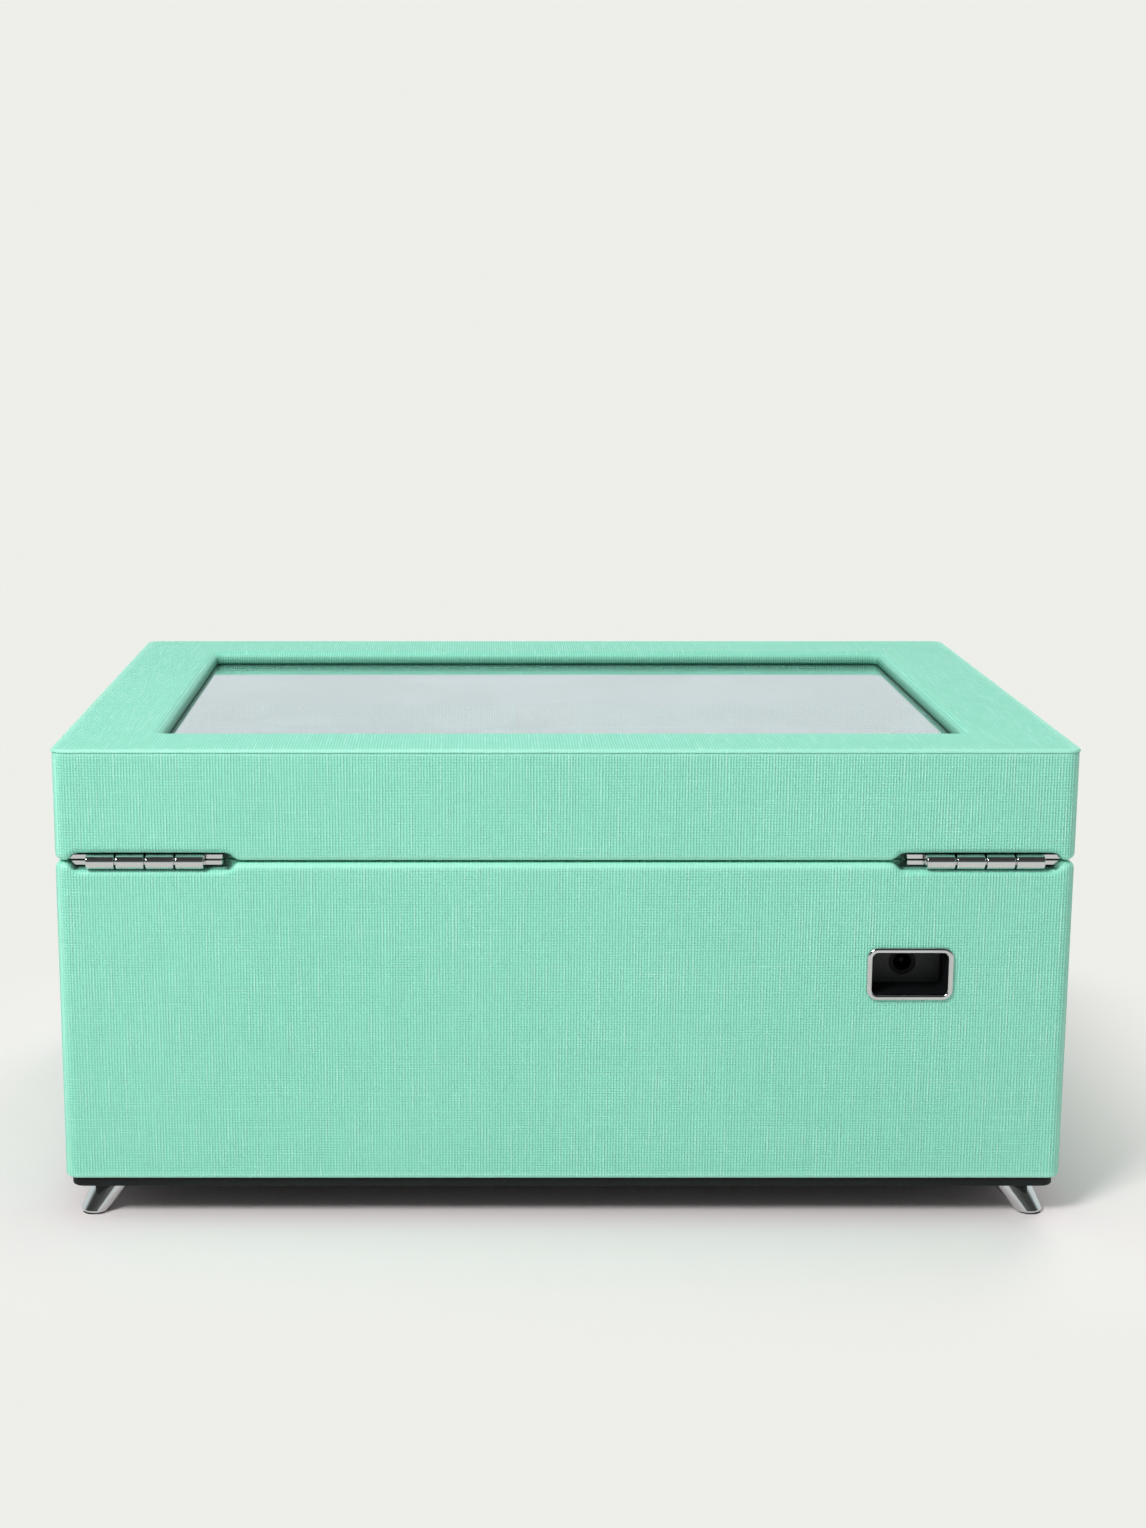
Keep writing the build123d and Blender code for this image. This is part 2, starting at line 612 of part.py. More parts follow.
for side_name, side in SIDES.items():
    finish(hinge_leaf(side, -1, RIM_Z - LEAF_THICKNESS), f"hinge_{side_name}_box_leaf")
    finish(hinge_leaf(side, 1, LID_Z), f"hinge_{side_name}_lid_leaf")

with BuildPart() as hinge_pins:
    for side in SIDES.values():
        with BuildSketch(Plane.YZ.offset(side * HINGE_X)):
            with Locations((HINGE_Y, SEAM_Z)):
                Circle(HINGE_PIN_RADIUS)
        extrude(amount=KNUCKLE_COUNT * KNUCKLE_LENGTH / 2, both=True)
finish(hinge_pins, "hinge_pins")

hinge_box_screws = countersunk_screws(Plane.XY.offset(RIM_Z), hinge_screw_places(),
                                      HINGE_SCREW_RADIUS, HINGE_SCREW_HEAD_RADIUS, HINGE_SCREW_LENGTH)
finish(hinge_box_screws, "hinge_box_screws")

lid_screw_places = [(x, -y) for x, y in hinge_screw_places()]
hinge_lid_screws = countersunk_screws(Plane(origin=(0, 0, LID_Z), x_dir=(1, 0, 0), z_dir=(0, 0, -1)),
                                      lid_screw_places,
                                      HINGE_SCREW_RADIUS, HINGE_SCREW_HEAD_RADIUS, HINGE_SCREW_LENGTH)
finish(hinge_lid_screws, "hinge_lid_screws")

# Lock in the front wall. Its hook turns up over a peg in the lid.
FRONT_PLANE = Plane.XZ.offset(BOX_DEPTH / 2)
INSIDE_FRONT_PLANE = Plane.XZ.offset(INNER_DEPTH / 2)
LOCK_END_PLANE = Plane.XZ.offset(INNER_DEPTH / 2 - LOCK_NUT)
HOOK_PLANE = Plane.XZ.offset(INNER_DEPTH / 2 - LOCK_NUT - REST_GAP)
LOCK_LENGTH = (BOX_DEPTH - INNER_DEPTH) / 2 + LOCK_NUT

with BuildPart() as lock_case:
    with BuildSketch(LOCK_END_PLANE):
        with Locations((0, LOCK_Z)):
            Circle(LOCK_CASE_RADIUS)
    extrude(amount=LOCK_LENGTH)
    with BuildSketch(FRONT_PLANE):
        with Locations((0, LOCK_Z)):
            Circle(LOCK_FLANGE_RADIUS)
    extrude(amount=LOCK_FLANGE)
    fillet(lock_case.faces().sort_by(Axis.Y)[0].edges(), LOCK_FLANGE_ROUND)
    with BuildSketch(LOCK_END_PLANE):
        with Locations((0, LOCK_Z)):
            Circle(LOCK_BARREL_RADIUS + RUNNING_FIT)
    extrude(amount=LOCK_LENGTH + LOCK_FLANGE, mode=Mode.SUBTRACT)
finish(lock_case, "lock_case")

with BuildPart() as lock_nut:
    with BuildSketch(LOCK_END_PLANE):
        with Locations((0, LOCK_Z)):
            RegularPolygon(LOCK_NUT_RADIUS, LOCK_NUT_SIDE_COUNT)
            Circle(LOCK_CASE_RADIUS + RUNNING_FIT, mode=Mode.SUBTRACT)
    extrude(amount=LOCK_NUT)
finish(lock_nut, "lock_nut")

with BuildPart() as lock_barrel:
    with BuildSketch(HOOK_PLANE):
        with Locations((0, LOCK_Z)):
            Circle(LOCK_BARREL_RADIUS)
    extrude(amount=LOCK_LENGTH + LOCK_FLANGE + REST_GAP)
    with BuildSketch(HOOK_PLANE):
        with Locations((0, LOCK_Z)):
            Circle(LOCK_TAIL_RADIUS)
    extrude(amount=-HOOK_THICKNESS)
    with BuildSketch(FRONT_PLANE.offset(LOCK_FLANGE)):
        with Locations((0, LOCK_Z)):
            Rectangle(KEY_SLOT_WIDTH, KEY_SLOT_LENGTH)
    extrude(amount=-KEY_SLOT_DEPTH, mode=Mode.SUBTRACT)
finish(lock_barrel, "lock_barrel")

PEG_ABOVE_LOCK = LOCK_BELOW_RIM + SEAM_GAP + STRIKE_PEG_RISE
HOOK_MIDDLE_RADIUS = PEG_ABOVE_LOCK + STRIKE_PEG_RADIUS + HOOK_GAP + HOOK_BAND / 2

with BuildPart() as lock_hook:
    with BuildSketch(HOOK_PLANE):
        with Locations((0, LOCK_Z)):
            Circle(HOOK_HUB_RADIUS)
            with PolarLocations(HOOK_MIDDLE_RADIUS / 2, 1, start_angle=HOOK_LOW_ANGLE):
                Rectangle(HOOK_MIDDLE_RADIUS, HOOK_ARM_WIDTH)
        with BuildLine():
            CenterArc((0, LOCK_Z), HOOK_MIDDLE_RADIUS, HOOK_LOW_ANGLE, HOOK_HIGH_ANGLE - HOOK_LOW_ANGLE)
        trace(line_width=HOOK_BAND)
        with Locations((0, LOCK_Z)):
            Circle(LOCK_TAIL_RADIUS + RUNNING_FIT, mode=Mode.SUBTRACT)
    extrude(amount=-HOOK_THICKNESS)
finish(lock_hook, "lock_hook")

with BuildPart() as lock_strike:
    with BuildSketch(INSIDE_FRONT_PLANE):
        with Locations((0, LID_Z + STRIKE_PLATE_HEIGHT / 2)):
            RectangleRounded(STRIKE_PLATE_WIDTH, STRIKE_PLATE_HEIGHT, STRIKE_PLATE_CORNER)
    extrude(amount=-STRIKE_PLATE)
    with BuildSketch(INSIDE_FRONT_PLANE):
        with Locations((0, LID_Z + STRIKE_PEG_RISE)):
            Circle(STRIKE_PEG_RADIUS)
    extrude(amount=-STRIKE_PEG_LENGTH)
finish(lock_strike, "lock_strike")

# Lid rails: a mitred frame of L section, rebated from below for the glass
LID_BOARD_Z = LID_Z + COVER
GLASS_SEAT_Z = GLASS_TOP_Z + COVER
PANE_WIDTH = WINDOW_WIDTH + 2 * GLASS_LAP
PANE_DEPTH = WINDOW_DEPTH + 2 * GLASS_LAP
BOARD_WINDOW_ROUND = WINDOW_EDGE_ROUND - COVER

with BuildPart() as lid_frame:
    with BuildSketch(Plane.XY.offset(LID_BOARD_Z)):
        RectangleRounded(BOARD_OUT_WIDTH, BOARD_OUT_DEPTH, CORNER_RADIUS - COVER)
    extrude(amount=FOLD_Z - LID_BOARD_Z)
    with BuildSketch(Plane.XY.offset(LID_BOARD_Z)):
        Rectangle(BOARD_IN_WIDTH, BOARD_IN_DEPTH)
    extrude(amount=GLASS_Z - LID_BOARD_Z, mode=Mode.SUBTRACT)
    with BuildSketch(Plane.XY.offset(GLASS_Z)):
        Rectangle(PANE_WIDTH + 2 * FIT, PANE_DEPTH + 2 * FIT)
    extrude(amount=GLASS_SEAT_Z - GLASS_Z, mode=Mode.SUBTRACT)
    with BuildSketch(Plane.XY.offset(GLASS_Z)):
        RectangleRounded(WINDOW_WIDTH + 2 * COVER, WINDOW_DEPTH + 2 * COVER, WINDOW_CORNER + COVER)
    extrude(amount=FOLD_Z - GLASS_Z, mode=Mode.SUBTRACT)
    board_window_edges = lid_frame.faces().sort_by(Axis.Z)[-1].inner_wires()[0].edges()
    fillet(board_window_edges, BOARD_WINDOW_ROUND)
    add(lid_board_pockets, mode=Mode.SUBTRACT)

with BuildPart() as bored_lid_frame:
    add(lid_frame.part)
    add(lid_leaf_recesses, mode=Mode.SUBTRACT)
    with BuildSketch(Plane.XY.offset(LID_Z)):
        with Locations(*hinge_screw_places()):
            Circle(HINGE_SCREW_RADIUS + FIT)
    extrude(amount=HINGE_SCREW_LENGTH + FIT, mode=Mode.SUBTRACT)

for side_name in ("rear", "front", "left", "right"):
    finish(mitred_side(bored_lid_frame.part, side_name, LID_Z, TOP_Z), f"lid_{side_name}_rail")

# Leatherette band round the lid's sides, turned in under the rim
with BuildPart() as lid_side_cover:
    add(lid_form)
    fillet(outline_edges(lid_side_cover, FOLD_Z, FOLD_Z), FOLD_LINE_ROUND)
    with BuildSketch(Plane.XY.offset(LID_Z)):
        Rectangle(INNER_WIDTH, INNER_DEPTH)
    extrude(amount=LID_TURN_IN, mode=Mode.SUBTRACT)
    with BuildSketch(Plane.XY.offset(LID_Z + LID_TURN_IN)):
        RectangleRounded(BOARD_OUT_WIDTH, BOARD_OUT_DEPTH, CORNER_RADIUS - COVER)
    extrude(amount=FOLD_Z - LID_Z, mode=Mode.SUBTRACT)
    add(lid_frame.part, mode=Mode.SUBTRACT)
    add(lid_leaf_recesses, mode=Mode.SUBTRACT)
finish(lid_side_cover, "lid_side_cover")

# Top sheet of the lid: folded down inside the window and under the frame's lip
with BuildPart() as lid_top_cover:
    with BuildSketch(Plane.XY.offset(FOLD_Z)):
        RectangleRounded(BOX_WIDTH + 2 * TOP_SHEET_PROUD, BOX_DEPTH + 2 * TOP_SHEET_PROUD,
                         CORNER_RADIUS + TOP_SHEET_PROUD)
    extrude(amount=COVER)
    fillet(lid_top_cover.faces().sort_by(Axis.Z)[0].edges(), FOLD_LINE_ROUND)
    fillet(lid_top_cover.faces().sort_by(Axis.Z)[-1].edges(), TOP_EDGE_ROUND)
    with BuildSketch(Plane.XY.offset(GLASS_TOP_Z)):
        RectangleRounded(WINDOW_WIDTH + 2 * COVER, WINDOW_DEPTH + 2 * COVER, WINDOW_CORNER + COVER)
    extrude(amount=GLASS_DROP - COVER)
    with BuildSketch(Plane.XY.offset(GLASS_SEAT_Z)):
        RectangleRounded(WINDOW_WIDTH + 2 * WINDOW_EDGE_ROUND, WINDOW_DEPTH + 2 * WINDOW_EDGE_ROUND,
                         WINDOW_CORNER + WINDOW_EDGE_ROUND)
    extrude(amount=FOLD_Z - GLASS_SEAT_Z)
    add(lid_frame.part, mode=Mode.SUBTRACT)
    with BuildSketch(Plane.XY.offset(GLASS_TOP_Z)):
        Rectangle(WINDOW_WIDTH + 2 * COVER + 2 * FOLD_UNDER, WINDOW_DEPTH + 2 * COVER + 2 * FOLD_UNDER)
    extrude(amount=COVER)
    with BuildSketch(Plane.XY.offset(GLASS_TOP_Z)):
        RectangleRounded(WINDOW_WIDTH, WINDOW_DEPTH, WINDOW_CORNER)
    extrude(amount=GLASS_DROP, mode=Mode.SUBTRACT)
    window_edges = lid_top_cover.faces().sort_by(Axis.Z)[-1].inner_wires()[0].edges()
    fillet(window_edges, WINDOW_EDGE_ROUND)
finish(lid_top_cover, "lid_top_cover")

with BuildPart() as glass_pane:
    with BuildSketch(Plane.XY.offset(GLASS_Z)):
        Rectangle(PANE_WIDTH, PANE_DEPTH)
    extrude(amount=GLASS)
finish(glass_pane, "glass_pane")

with BuildPart() as glass_retainer:
    with BuildSketch(Plane.XY.offset(GLASS_Z - RETAINER)):
        Rectangle(INNER_WIDTH, INNER_DEPTH)
        RectangleRounded(WINDOW_WIDTH, WINDOW_DEPTH, WINDOW_CORNER, mode=Mode.SUBTRACT)
    extrude(amount=RETAINER)
finish(glass_retainer, "glass_retainer")

with BuildPart() as lid_lining:
    with BuildSketch(Plane.XY.offset(LID_Z + LID_TURN_IN)):
        Rectangle(BOARD_IN_WIDTH, BOARD_IN_DEPTH)
        Rectangle(INNER_WIDTH, INNER_DEPTH, mode=Mode.SUBTRACT)
    extrude(amount=GLASS_Z - LID_Z - LID_TURN_IN)
finish(lid_lining, "lid_lining")

# Winder: a moulded housing with a sloping face, and a drum that turns square to that face
HOUSING_WIDTH = BAY_WIDTH - 2 * HOUSING_GAP
HOUSING_REAR_Y = INNER_DEPTH / 2 - HOUSING_GAP
HOLLOW_WIDTH = HOUSING_WIDTH - 2 * HOUSING_WALL
HOLLOW_DEPTH = 2 * HOUSING_REAR_Y - 2 * HOUSING_WALL
HOUSING_LEFT_PLANE = Plane.YZ.offset(BAY_X - HOUSING_WIDTH / 2)
FACE_Y = -FACE_FROM_MIDDLE
FACE_COS = cos(radians(FACE_TILT_ANGLE))
FACE_SIN = sin(radians(FACE_TILT_ANGLE))
FACE_Z = FLOOR_Z + HOUSING_BOTTOM + DRUM_UNDER_GAP + DRUM_DEPTH * FACE_COS + DRUM_RADIUS * FACE_SIN
RING_RADIUS = DRUM_RADIUS + DRUM_GAP + RING_WIDTH
FACE_REACH = RING_RADIUS + HOUSING_EDGE_ROUND * tan(radians(FACE_TILT_ANGLE / 2)) + FIT
FACE_PLANE = Plane(
    origin=(BAY_X, FACE_Y, FACE_Z),
    x_dir=(1, 0, 0),
    z_dir=(0, -FACE_SIN, FACE_COS),
)
FACE_RUN = FACE_REACH * FACE_COS
FACE_CLIMB = FACE_REACH * FACE_SIN
LEDGE_Z = FACE_Z - FACE_CLIMB
HOUSING_TOP_Z = FACE_Z + FACE_CLIMB
DIAL_Y = (FACE_Y - FACE_RUN - HOUSING_REAR_Y) / 2
BULKHEAD_DEPTH = DRUM_DEPTH + HUB_HEIGHT + REST_GAP + BUSH_FLANGE
DRUM_BASE_PLANE = FACE_PLANE.offset(-DRUM_DEPTH)
BULKHEAD_PLANE = FACE_PLANE.offset(-BULKHEAD_DEPTH)
MOTOR_PLANE = BULKHEAD_PLANE.offset(-BULKHEAD)

with BuildSketch(HOUSING_LEFT_PLANE) as housing_profile:
    with BuildLine():
        Polyline(
            (-HOUSING_REAR_Y, FLOOR_Z),
            (-HOUSING_REAR_Y, LEDGE_Z),
            (FACE_Y - FACE_RUN, LEDGE_Z),
            (FACE_Y + FACE_RUN, HOUSING_TOP_Z),
            (HOUSING_REAR_Y, HOUSING_TOP_Z),
            (HOUSING_REAR_Y, FLOOR_Z),
            close=True,
        )
    make_face()
    ledge_corners, top_corners = housing_profile.vertices().group_by(Axis.Y)[1:]
    fillet(ledge_corners + top_corners, HOUSING_EDGE_ROUND)

with BuildSketch(HOUSING_LEFT_PLANE.offset(HOUSING_WALL)) as housing_hollow:
    add(housing_profile.sketch_local)
    offset(amount=-HOUSING_WALL, kind=Kind.INTERSECTION, mode=Mode.REPLACE)

with BuildPart() as winder_housing:
    extrude(housing_profile.sketch, amount=HOUSING_WIDTH)
    extrude(housing_hollow.sketch, amount=HOLLOW_WIDTH, mode=Mode.SUBTRACT)
    with BuildSketch(Plane.XY.offset(FLOOR_Z)):
        with Locations((BAY_X, 0)):
            Rectangle(HOLLOW_WIDTH, HOLLOW_DEPTH)
    extrude(amount=HOUSING_WALL, mode=Mode.SUBTRACT)
    with BuildSketch(BULKHEAD_PLANE):
        Rectangle(HOUSING_WIDTH - HOUSING_WALL, BULKHEAD_LENGTH)
    extrude(amount=-BULKHEAD)
    with BuildSketch(BULKHEAD_PLANE):
        Circle(BUSH_RADIUS)
    extrude(amount=-BULKHEAD, mode=Mode.SUBTRACT)
    with BuildSketch(FACE_PLANE):
        Circle(DRUM_RADIUS + DRUM_GAP)
    extrude(amount=HOUSING_WALL, both=True, mode=Mode.SUBTRACT)
    with BuildSketch(Plane.XY.offset(LEDGE_Z)):
        with Locations((BAY_X, DIAL_Y)):
            Circle(DIAL_SHAFT_RADIUS + RUNNING_FIT)
    extrude(amount=-HOUSING_WALL, mode=Mode.SUBTRACT)
    with BuildSketch(Plane.XZ.offset(-HOUSING_REAR_Y)):
        with Locations((PORT_X, PORT_Z)):
            Circle(SOCKET_NOSE_RADIUS + FIT)
    extrude(amount=HOUSING_WALL, mode=Mode.SUBTRACT)
finish(winder_housing, "winder_housing")

with BuildPart() as winder_bottom:
    with BuildSketch(Plane.XY.offset(FLOOR_Z)):
        with Locations((BAY_X, 0)):
            Rectangle(HOLLOW_WIDTH - 2 * FIT, HOLLOW_DEPTH - 2 * FIT)
    extrude(amount=HOUSING_BOTTOM)
finish(winder_bottom, "winder_bottom")

with BuildPart() as winder_ring:
    with BuildSketch(FACE_PLANE):
        Circle(RING_RADIUS)
        Circle(DRUM_RADIUS + DRUM_GAP, mode=Mode.SUBTRACT)
    extrude(amount=RING_HEIGHT)
    fillet(winder_ring.edges().group_by(Axis(FACE_PLANE.origin, FACE_PLANE.z_dir))[-1], RING_ROUND)
finish(winder_ring, "winder_ring")

with BuildPart() as drum:
    with BuildSketch(DRUM_BASE_PLANE):
        Circle(DRUM_RADIUS)
    extrude(amount=DRUM_DEPTH)
    with BuildSketch(DRUM_BASE_PLANE.offset(DRUM_FLOOR)):
        Circle(DRUM_RADIUS - DRUM_WALL)
    extrude(amount=DRUM_DEPTH - DRUM_FLOOR, mode=Mode.SUBTRACT)
    drum_axis = Axis(FACE_PLANE.origin, FACE_PLANE.z_dir)
    drum_rings = drum.edges().filter_by(GeomType.CIRCLE).group_by(drum_axis)
    fillet(drum_rings[-1], DRUM_RIM_ROUND)
    fillet(drum.edges().filter_by(GeomType.CIRCLE).group_by(drum_axis)[1], DRUM_INNER_ROUND)
    with BuildSketch(DRUM_BASE_PLANE):
        Circle(HUB_RADIUS)
        Circle(SPINDLE_RADIUS + RUNNING_FIT, mode=Mode.SUBTRACT)
    extrude(amount=-HUB_HEIGHT)
finish(drum, "drum")

with BuildPart() as drum_spindle:
    with BuildSketch(DRUM_BASE_PLANE):
        Circle(SPINDLE_RADIUS)
    extrude(amount=-SPINDLE_LENGTH)
finish(drum_spindle, "drum_spindle")

with BuildPart() as spindle_bush:
    with BuildSketch(BULKHEAD_PLANE):
        Circle(BUSH_FLANGE_RADIUS)
    extrude(amount=BUSH_FLANGE)
    with BuildSketch(BULKHEAD_PLANE):
        Circle(BUSH_RADIUS - RUNNING_FIT)
    extrude(amount=-BULKHEAD)
    with BuildSketch(BULKHEAD_PLANE.offset(BUSH_FLANGE)):
        Circle(SPINDLE_RADIUS + RUNNING_FIT)
    extrude(amount=-BUSH_FLANGE - BULKHEAD, mode=Mode.SUBTRACT)
finish(spindle_bush, "spindle_bush")

with BuildPart() as gearmotor:
    with BuildSketch(MOTOR_PLANE):
        Circle(MOTOR_RADIUS)
    extrude(amount=-MOTOR_GEARBOX_LENGTH)
    with BuildSketch(MOTOR_PLANE.offset(-MOTOR_GEARBOX_LENGTH)):
        Circle(MOTOR_CAN_RADIUS)
    extrude(amount=-MOTOR_CAN_LENGTH)
    with BuildSketch(MOTOR_PLANE):
        Circle(SPINDLE_RADIUS + RUNNING_FIT)
    extrude(amount=-MOTOR_GEARBOX_LENGTH, mode=Mode.SUBTRACT)
finish(gearmotor, "gearmotor")

# Mode dial on the housing's ledge, with its switch below
with BuildPart() as mode_dial:
    with BuildSketch(Plane.XY.offset(LEDGE_Z + REST_GAP)):
        with Locations((BAY_X, DIAL_Y)):
            Circle(DIAL_RADIUS)
    with BuildSketch(Plane.XY.offset(LEDGE_Z + REST_GAP + DIAL_HEIGHT)):
        with Locations((BAY_X, DIAL_Y)):
            Circle(DIAL_TOP_RADIUS)
    loft(ruled=True)
    fillet(mode_dial.faces().sort_by(Axis.Z)[-1].edges(), DIAL_EDGE_ROUND)
    with BuildSketch(Plane.XY.offset(LEDGE_Z + REST_GAP)):
        with Locations((BAY_X, DIAL_Y)):
            with PolarLocations(DIAL_RADIUS, DIAL_GRIP_COUNT):
                Circle(DIAL_GRIP_RADIUS)
    extrude(amount=DIAL_HEIGHT - 2 * DIAL_EDGE_ROUND, mode=Mode.SUBTRACT)
    with BuildSketch(Plane.XY.offset(LEDGE_Z + REST_GAP)):
        with Locations((BAY_X, DIAL_Y)):
            Circle(DIAL_SHAFT_RADIUS)
    extrude(amount=-DIAL_SHAFT_LENGTH)
finish(mode_dial, "mode_dial")

with BuildPart() as mode_switch:
    with BuildSketch(Plane.XY.offset(LEDGE_Z - HOUSING_WALL)):
        with Locations((BAY_X, DIAL_Y)):
            Rectangle(SWITCH_SIZE, SWITCH_SIZE)
            Circle(DIAL_SHAFT_RADIUS + RUNNING_FIT, mode=Mode.SUBTRACT)
    extrude(amount=-SWITCH_HEIGHT)
finish(mode_switch, "mode_switch")

# Power socket in the housing's rear wall, in line with the port
with BuildPart() as power_socket:
    with BuildSketch(Plane.XZ.offset(-HOUSING_REAR_Y)):
        with Locations((PORT_X, PORT_Z)):
            Circle(SOCKET_NOSE_RADIUS)
    extrude(amount=HOUSING_WALL)
    with BuildSketch(Plane.XZ.offset(-HOUSING_REAR_Y + HOUSING_WALL)):
        with Locations((PORT_X, PORT_Z)):
            Rectangle(SOCKET_BODY, SOCKET_BODY)
    extrude(amount=SOCKET_BODY)
    with BuildSketch(Plane.XZ.offset(-HOUSING_REAR_Y)):
        with Locations((PORT_X, PORT_Z)):
            Circle(SOCKET_BORE_RADIUS)
            Circle(SOCKET_PIN_RADIUS, mode=Mode.SUBTRACT)
    extrude(amount=SOCKET_BORE_DEPTH, mode=Mode.SUBTRACT)
    with BuildSketch(Plane.XZ.offset(-HOUSING_REAR_Y)):
        with Locations((PORT_X, PORT_Z)):
            Circle(SOCKET_PIN_RADIUS)
    extrude(amount=SOCKET_BORE_DEPTH - SOCKET_PIN_LENGTH, mode=Mode.SUBTRACT)
finish(power_socket, "power_socket")


def cushion(middle_plane, width, length, height, corner):
    """A stuffed cushion, resting on the plane's own x axis, crowned in the middle with drawn-in ends.

    The plane cuts the cushion across its middle: its x runs along the cushion and its y through its height.
    """
    with BuildPart() as pad:
        for place in (-width / 2, 0, width / 2):
            length_share = 1 if place == 0 else CUSHION_END_LENGTH_SHARE
            height_share = 1 if place == 0 else CUSHION_END_HEIGHT_SHARE
            with BuildSketch(middle_plane.offset(place)):
                with Locations((0, height * height_share / 2)):
                    RectangleRounded(length * length_share, height * height_share, corner * height_share)
        loft()
    return pad


DRUM_SEAT_PLANE = DRUM_BASE_PLANE.offset(DRUM_FLOOR + REST_GAP)
DRUM_CUSHION_REACH = DRUM_RADIUS - DRUM_WALL - DRUM_CUSHION_GAP
DRUM_CUSHION_WIDTH = 2 * (DRUM_RADIUS - DRUM_WALL - DRUM_CUSHION_SIDE_GAP)
DRUM_CUSHION_LENGTH = 2 * sqrt(DRUM_CUSHION_REACH**2 - (DRUM_CUSHION_WIDTH / 2) ** 2)
drum_cushion_plane = Plane(DRUM_SEAT_PLANE.origin, x_dir=FACE_PLANE.y_dir, z_dir=FACE_PLANE.x_dir)
drum_cushion = cushion(drum_cushion_plane, DRUM_CUSHION_WIDTH, DRUM_CUSHION_LENGTH, DRUM_CUSHION_HEIGHT,
                       DRUM_CUSHION_CORNER)
finish(drum_cushion, "drum_cushion")

# Storage side: a raised deck on bearers, dividers, cushions and ring rolls
with BuildPart() as bay_divider:
    with BuildSketch(Plane.XY.offset(FLOOR_Z)):
        with Locations((STORE_LEFT_X - BAY_DIVIDER / 2, 0)):
            Rectangle(BAY_DIVIDER, INNER_DEPTH)
    extrude(amount=RIM_Z - BAY_DIVIDER_BELOW_RIM - FLOOR_Z)
    fillet(bay_divider.faces().sort_by(Axis.Z)[-1].edges().filter_by(Axis.Y), DIVIDER_EDGE_ROUND)
finish(bay_divider, "bay_divider")

with BuildPart() as deck_bearers:
    for end in ENDS.values():
        with BuildSketch(Plane.XY.offset(FLOOR_Z)):
            with Locations((STORE_X, end * (INNER_DEPTH - BEARER_WIDTH) / 2)):
                Rectangle(STORE_WIDTH, BEARER_WIDTH)
        extrude(amount=DECK_RISE)
finish(deck_bearers, "deck_bearers")

with BuildPart() as storage_deck:
    with BuildSketch(Plane.XY.offset(DECK_Z - DECK)):
        with Locations((STORE_X, 0)):
            Rectangle(STORE_WIDTH, INNER_DEPTH)
    extrude(amount=DECK)
finish(storage_deck, "storage_deck")


def divider_boards(places, along_x, length):
    """Upright dividers on the deck, with a rounded top edge."""
    size = (length, DIVIDER) if along_x else (DIVIDER, length)
    with BuildPart() as boards:
        with BuildSketch(Plane.XY.offset(DECK_Z)):
            with Locations(*places):
                Rectangle(*size)
        extrude(amount=RIM_Z - DIVIDER_BELOW_RIM - DECK_Z)
        top_edges = boards.edges().group_by(Axis.Z)[-1].filter_by(Axis.X if along_x else Axis.Y)
        fillet(top_edges, DIVIDER_EDGE_ROUND)
    return boards


WATCH_PITCH = (STORE_WIDTH + DIVIDER) / WATCH_SPACE_COUNT
WATCH_CUSHION_WIDTH = WATCH_PITCH - DIVIDER - 2 * WATCH_CUSHION_SIDE_GAP
WATCH_CUSHION_LENGTH = ROW_DEPTH - 2 * WATCH_CUSHION_END_GAP
TRAY_DIVIDER_X = STORE_RIGHT_X - TRAY_WIDTH - DIVIDER / 2
RING_SPACE_RIGHT_X = TRAY_DIVIDER_X - DIVIDER / 2
RING_SPACE_X = (STORE_LEFT_X + RING_SPACE_RIGHT_X) / 2
RING_ROLL_LENGTH = RING_SPACE_RIGHT_X - STORE_LEFT_X - 2 * RING_ROLL_END_GAP
watch_divider_places = [
    (STORE_LEFT_X + index * WATCH_PITCH - DIVIDER / 2, ROW_Y) for index in range(1, WATCH_SPACE_COUNT)
]
finish(divider_boards([(STORE_X, 0)], True, STORE_WIDTH), "row_divider")
finish(divider_boards(watch_divider_places, False, ROW_DEPTH), "watch_dividers")
finish(divider_boards([(TRAY_DIVIDER_X, -ROW_Y)], False, ROW_DEPTH), "tray_divider")

for index, place_name in enumerate(("left", "middle", "right")):
    cushion_x = STORE_LEFT_X + (index + MIDDLE_SHARE) * WATCH_PITCH - DIVIDER / 2
    cushion_plane = Plane((cushion_x, ROW_Y, DECK_Z + REST_GAP), x_dir=(0, 1, 0), z_dir=(1, 0, 0))
    watch_cushion = cushion(cushion_plane, WATCH_CUSHION_WIDTH, WATCH_CUSHION_LENGTH, WATCH_CUSHION_HEIGHT,
                            WATCH_CUSHION_CORNER)
    finish(watch_cushion, f"watch_cushion_{place_name}")

with BuildPart() as ring_rolls:
    roll_pitch = RING_ROLL_WIDTH + RING_ROLL_GAP
    for index in range(RING_ROLL_COUNT):
        roll_y = -ROW_Y + (index - (RING_ROLL_COUNT - 1) / 2) * roll_pitch
        shoulder_z = DECK_Z + REST_GAP + RING_ROLL_HEIGHT - RING_ROLL_WIDTH / 2
        with BuildSketch(Plane.YZ.offset(RING_SPACE_X)):
            with Locations((roll_y, (DECK_Z + REST_GAP + shoulder_z) / 2)):
                Rectangle(RING_ROLL_WIDTH, shoulder_z - DECK_Z - REST_GAP)
            with Locations((roll_y, shoulder_z)):
                Circle(RING_ROLL_WIDTH / 2)
        extrude(amount=RING_ROLL_LENGTH / 2, both=True)
    ends = ring_rolls.faces().filter_by(Axis.X)
    fillet(ends.edges(), RING_ROLL_END_ROUND)
finish(ring_rolls, "ring_rolls")
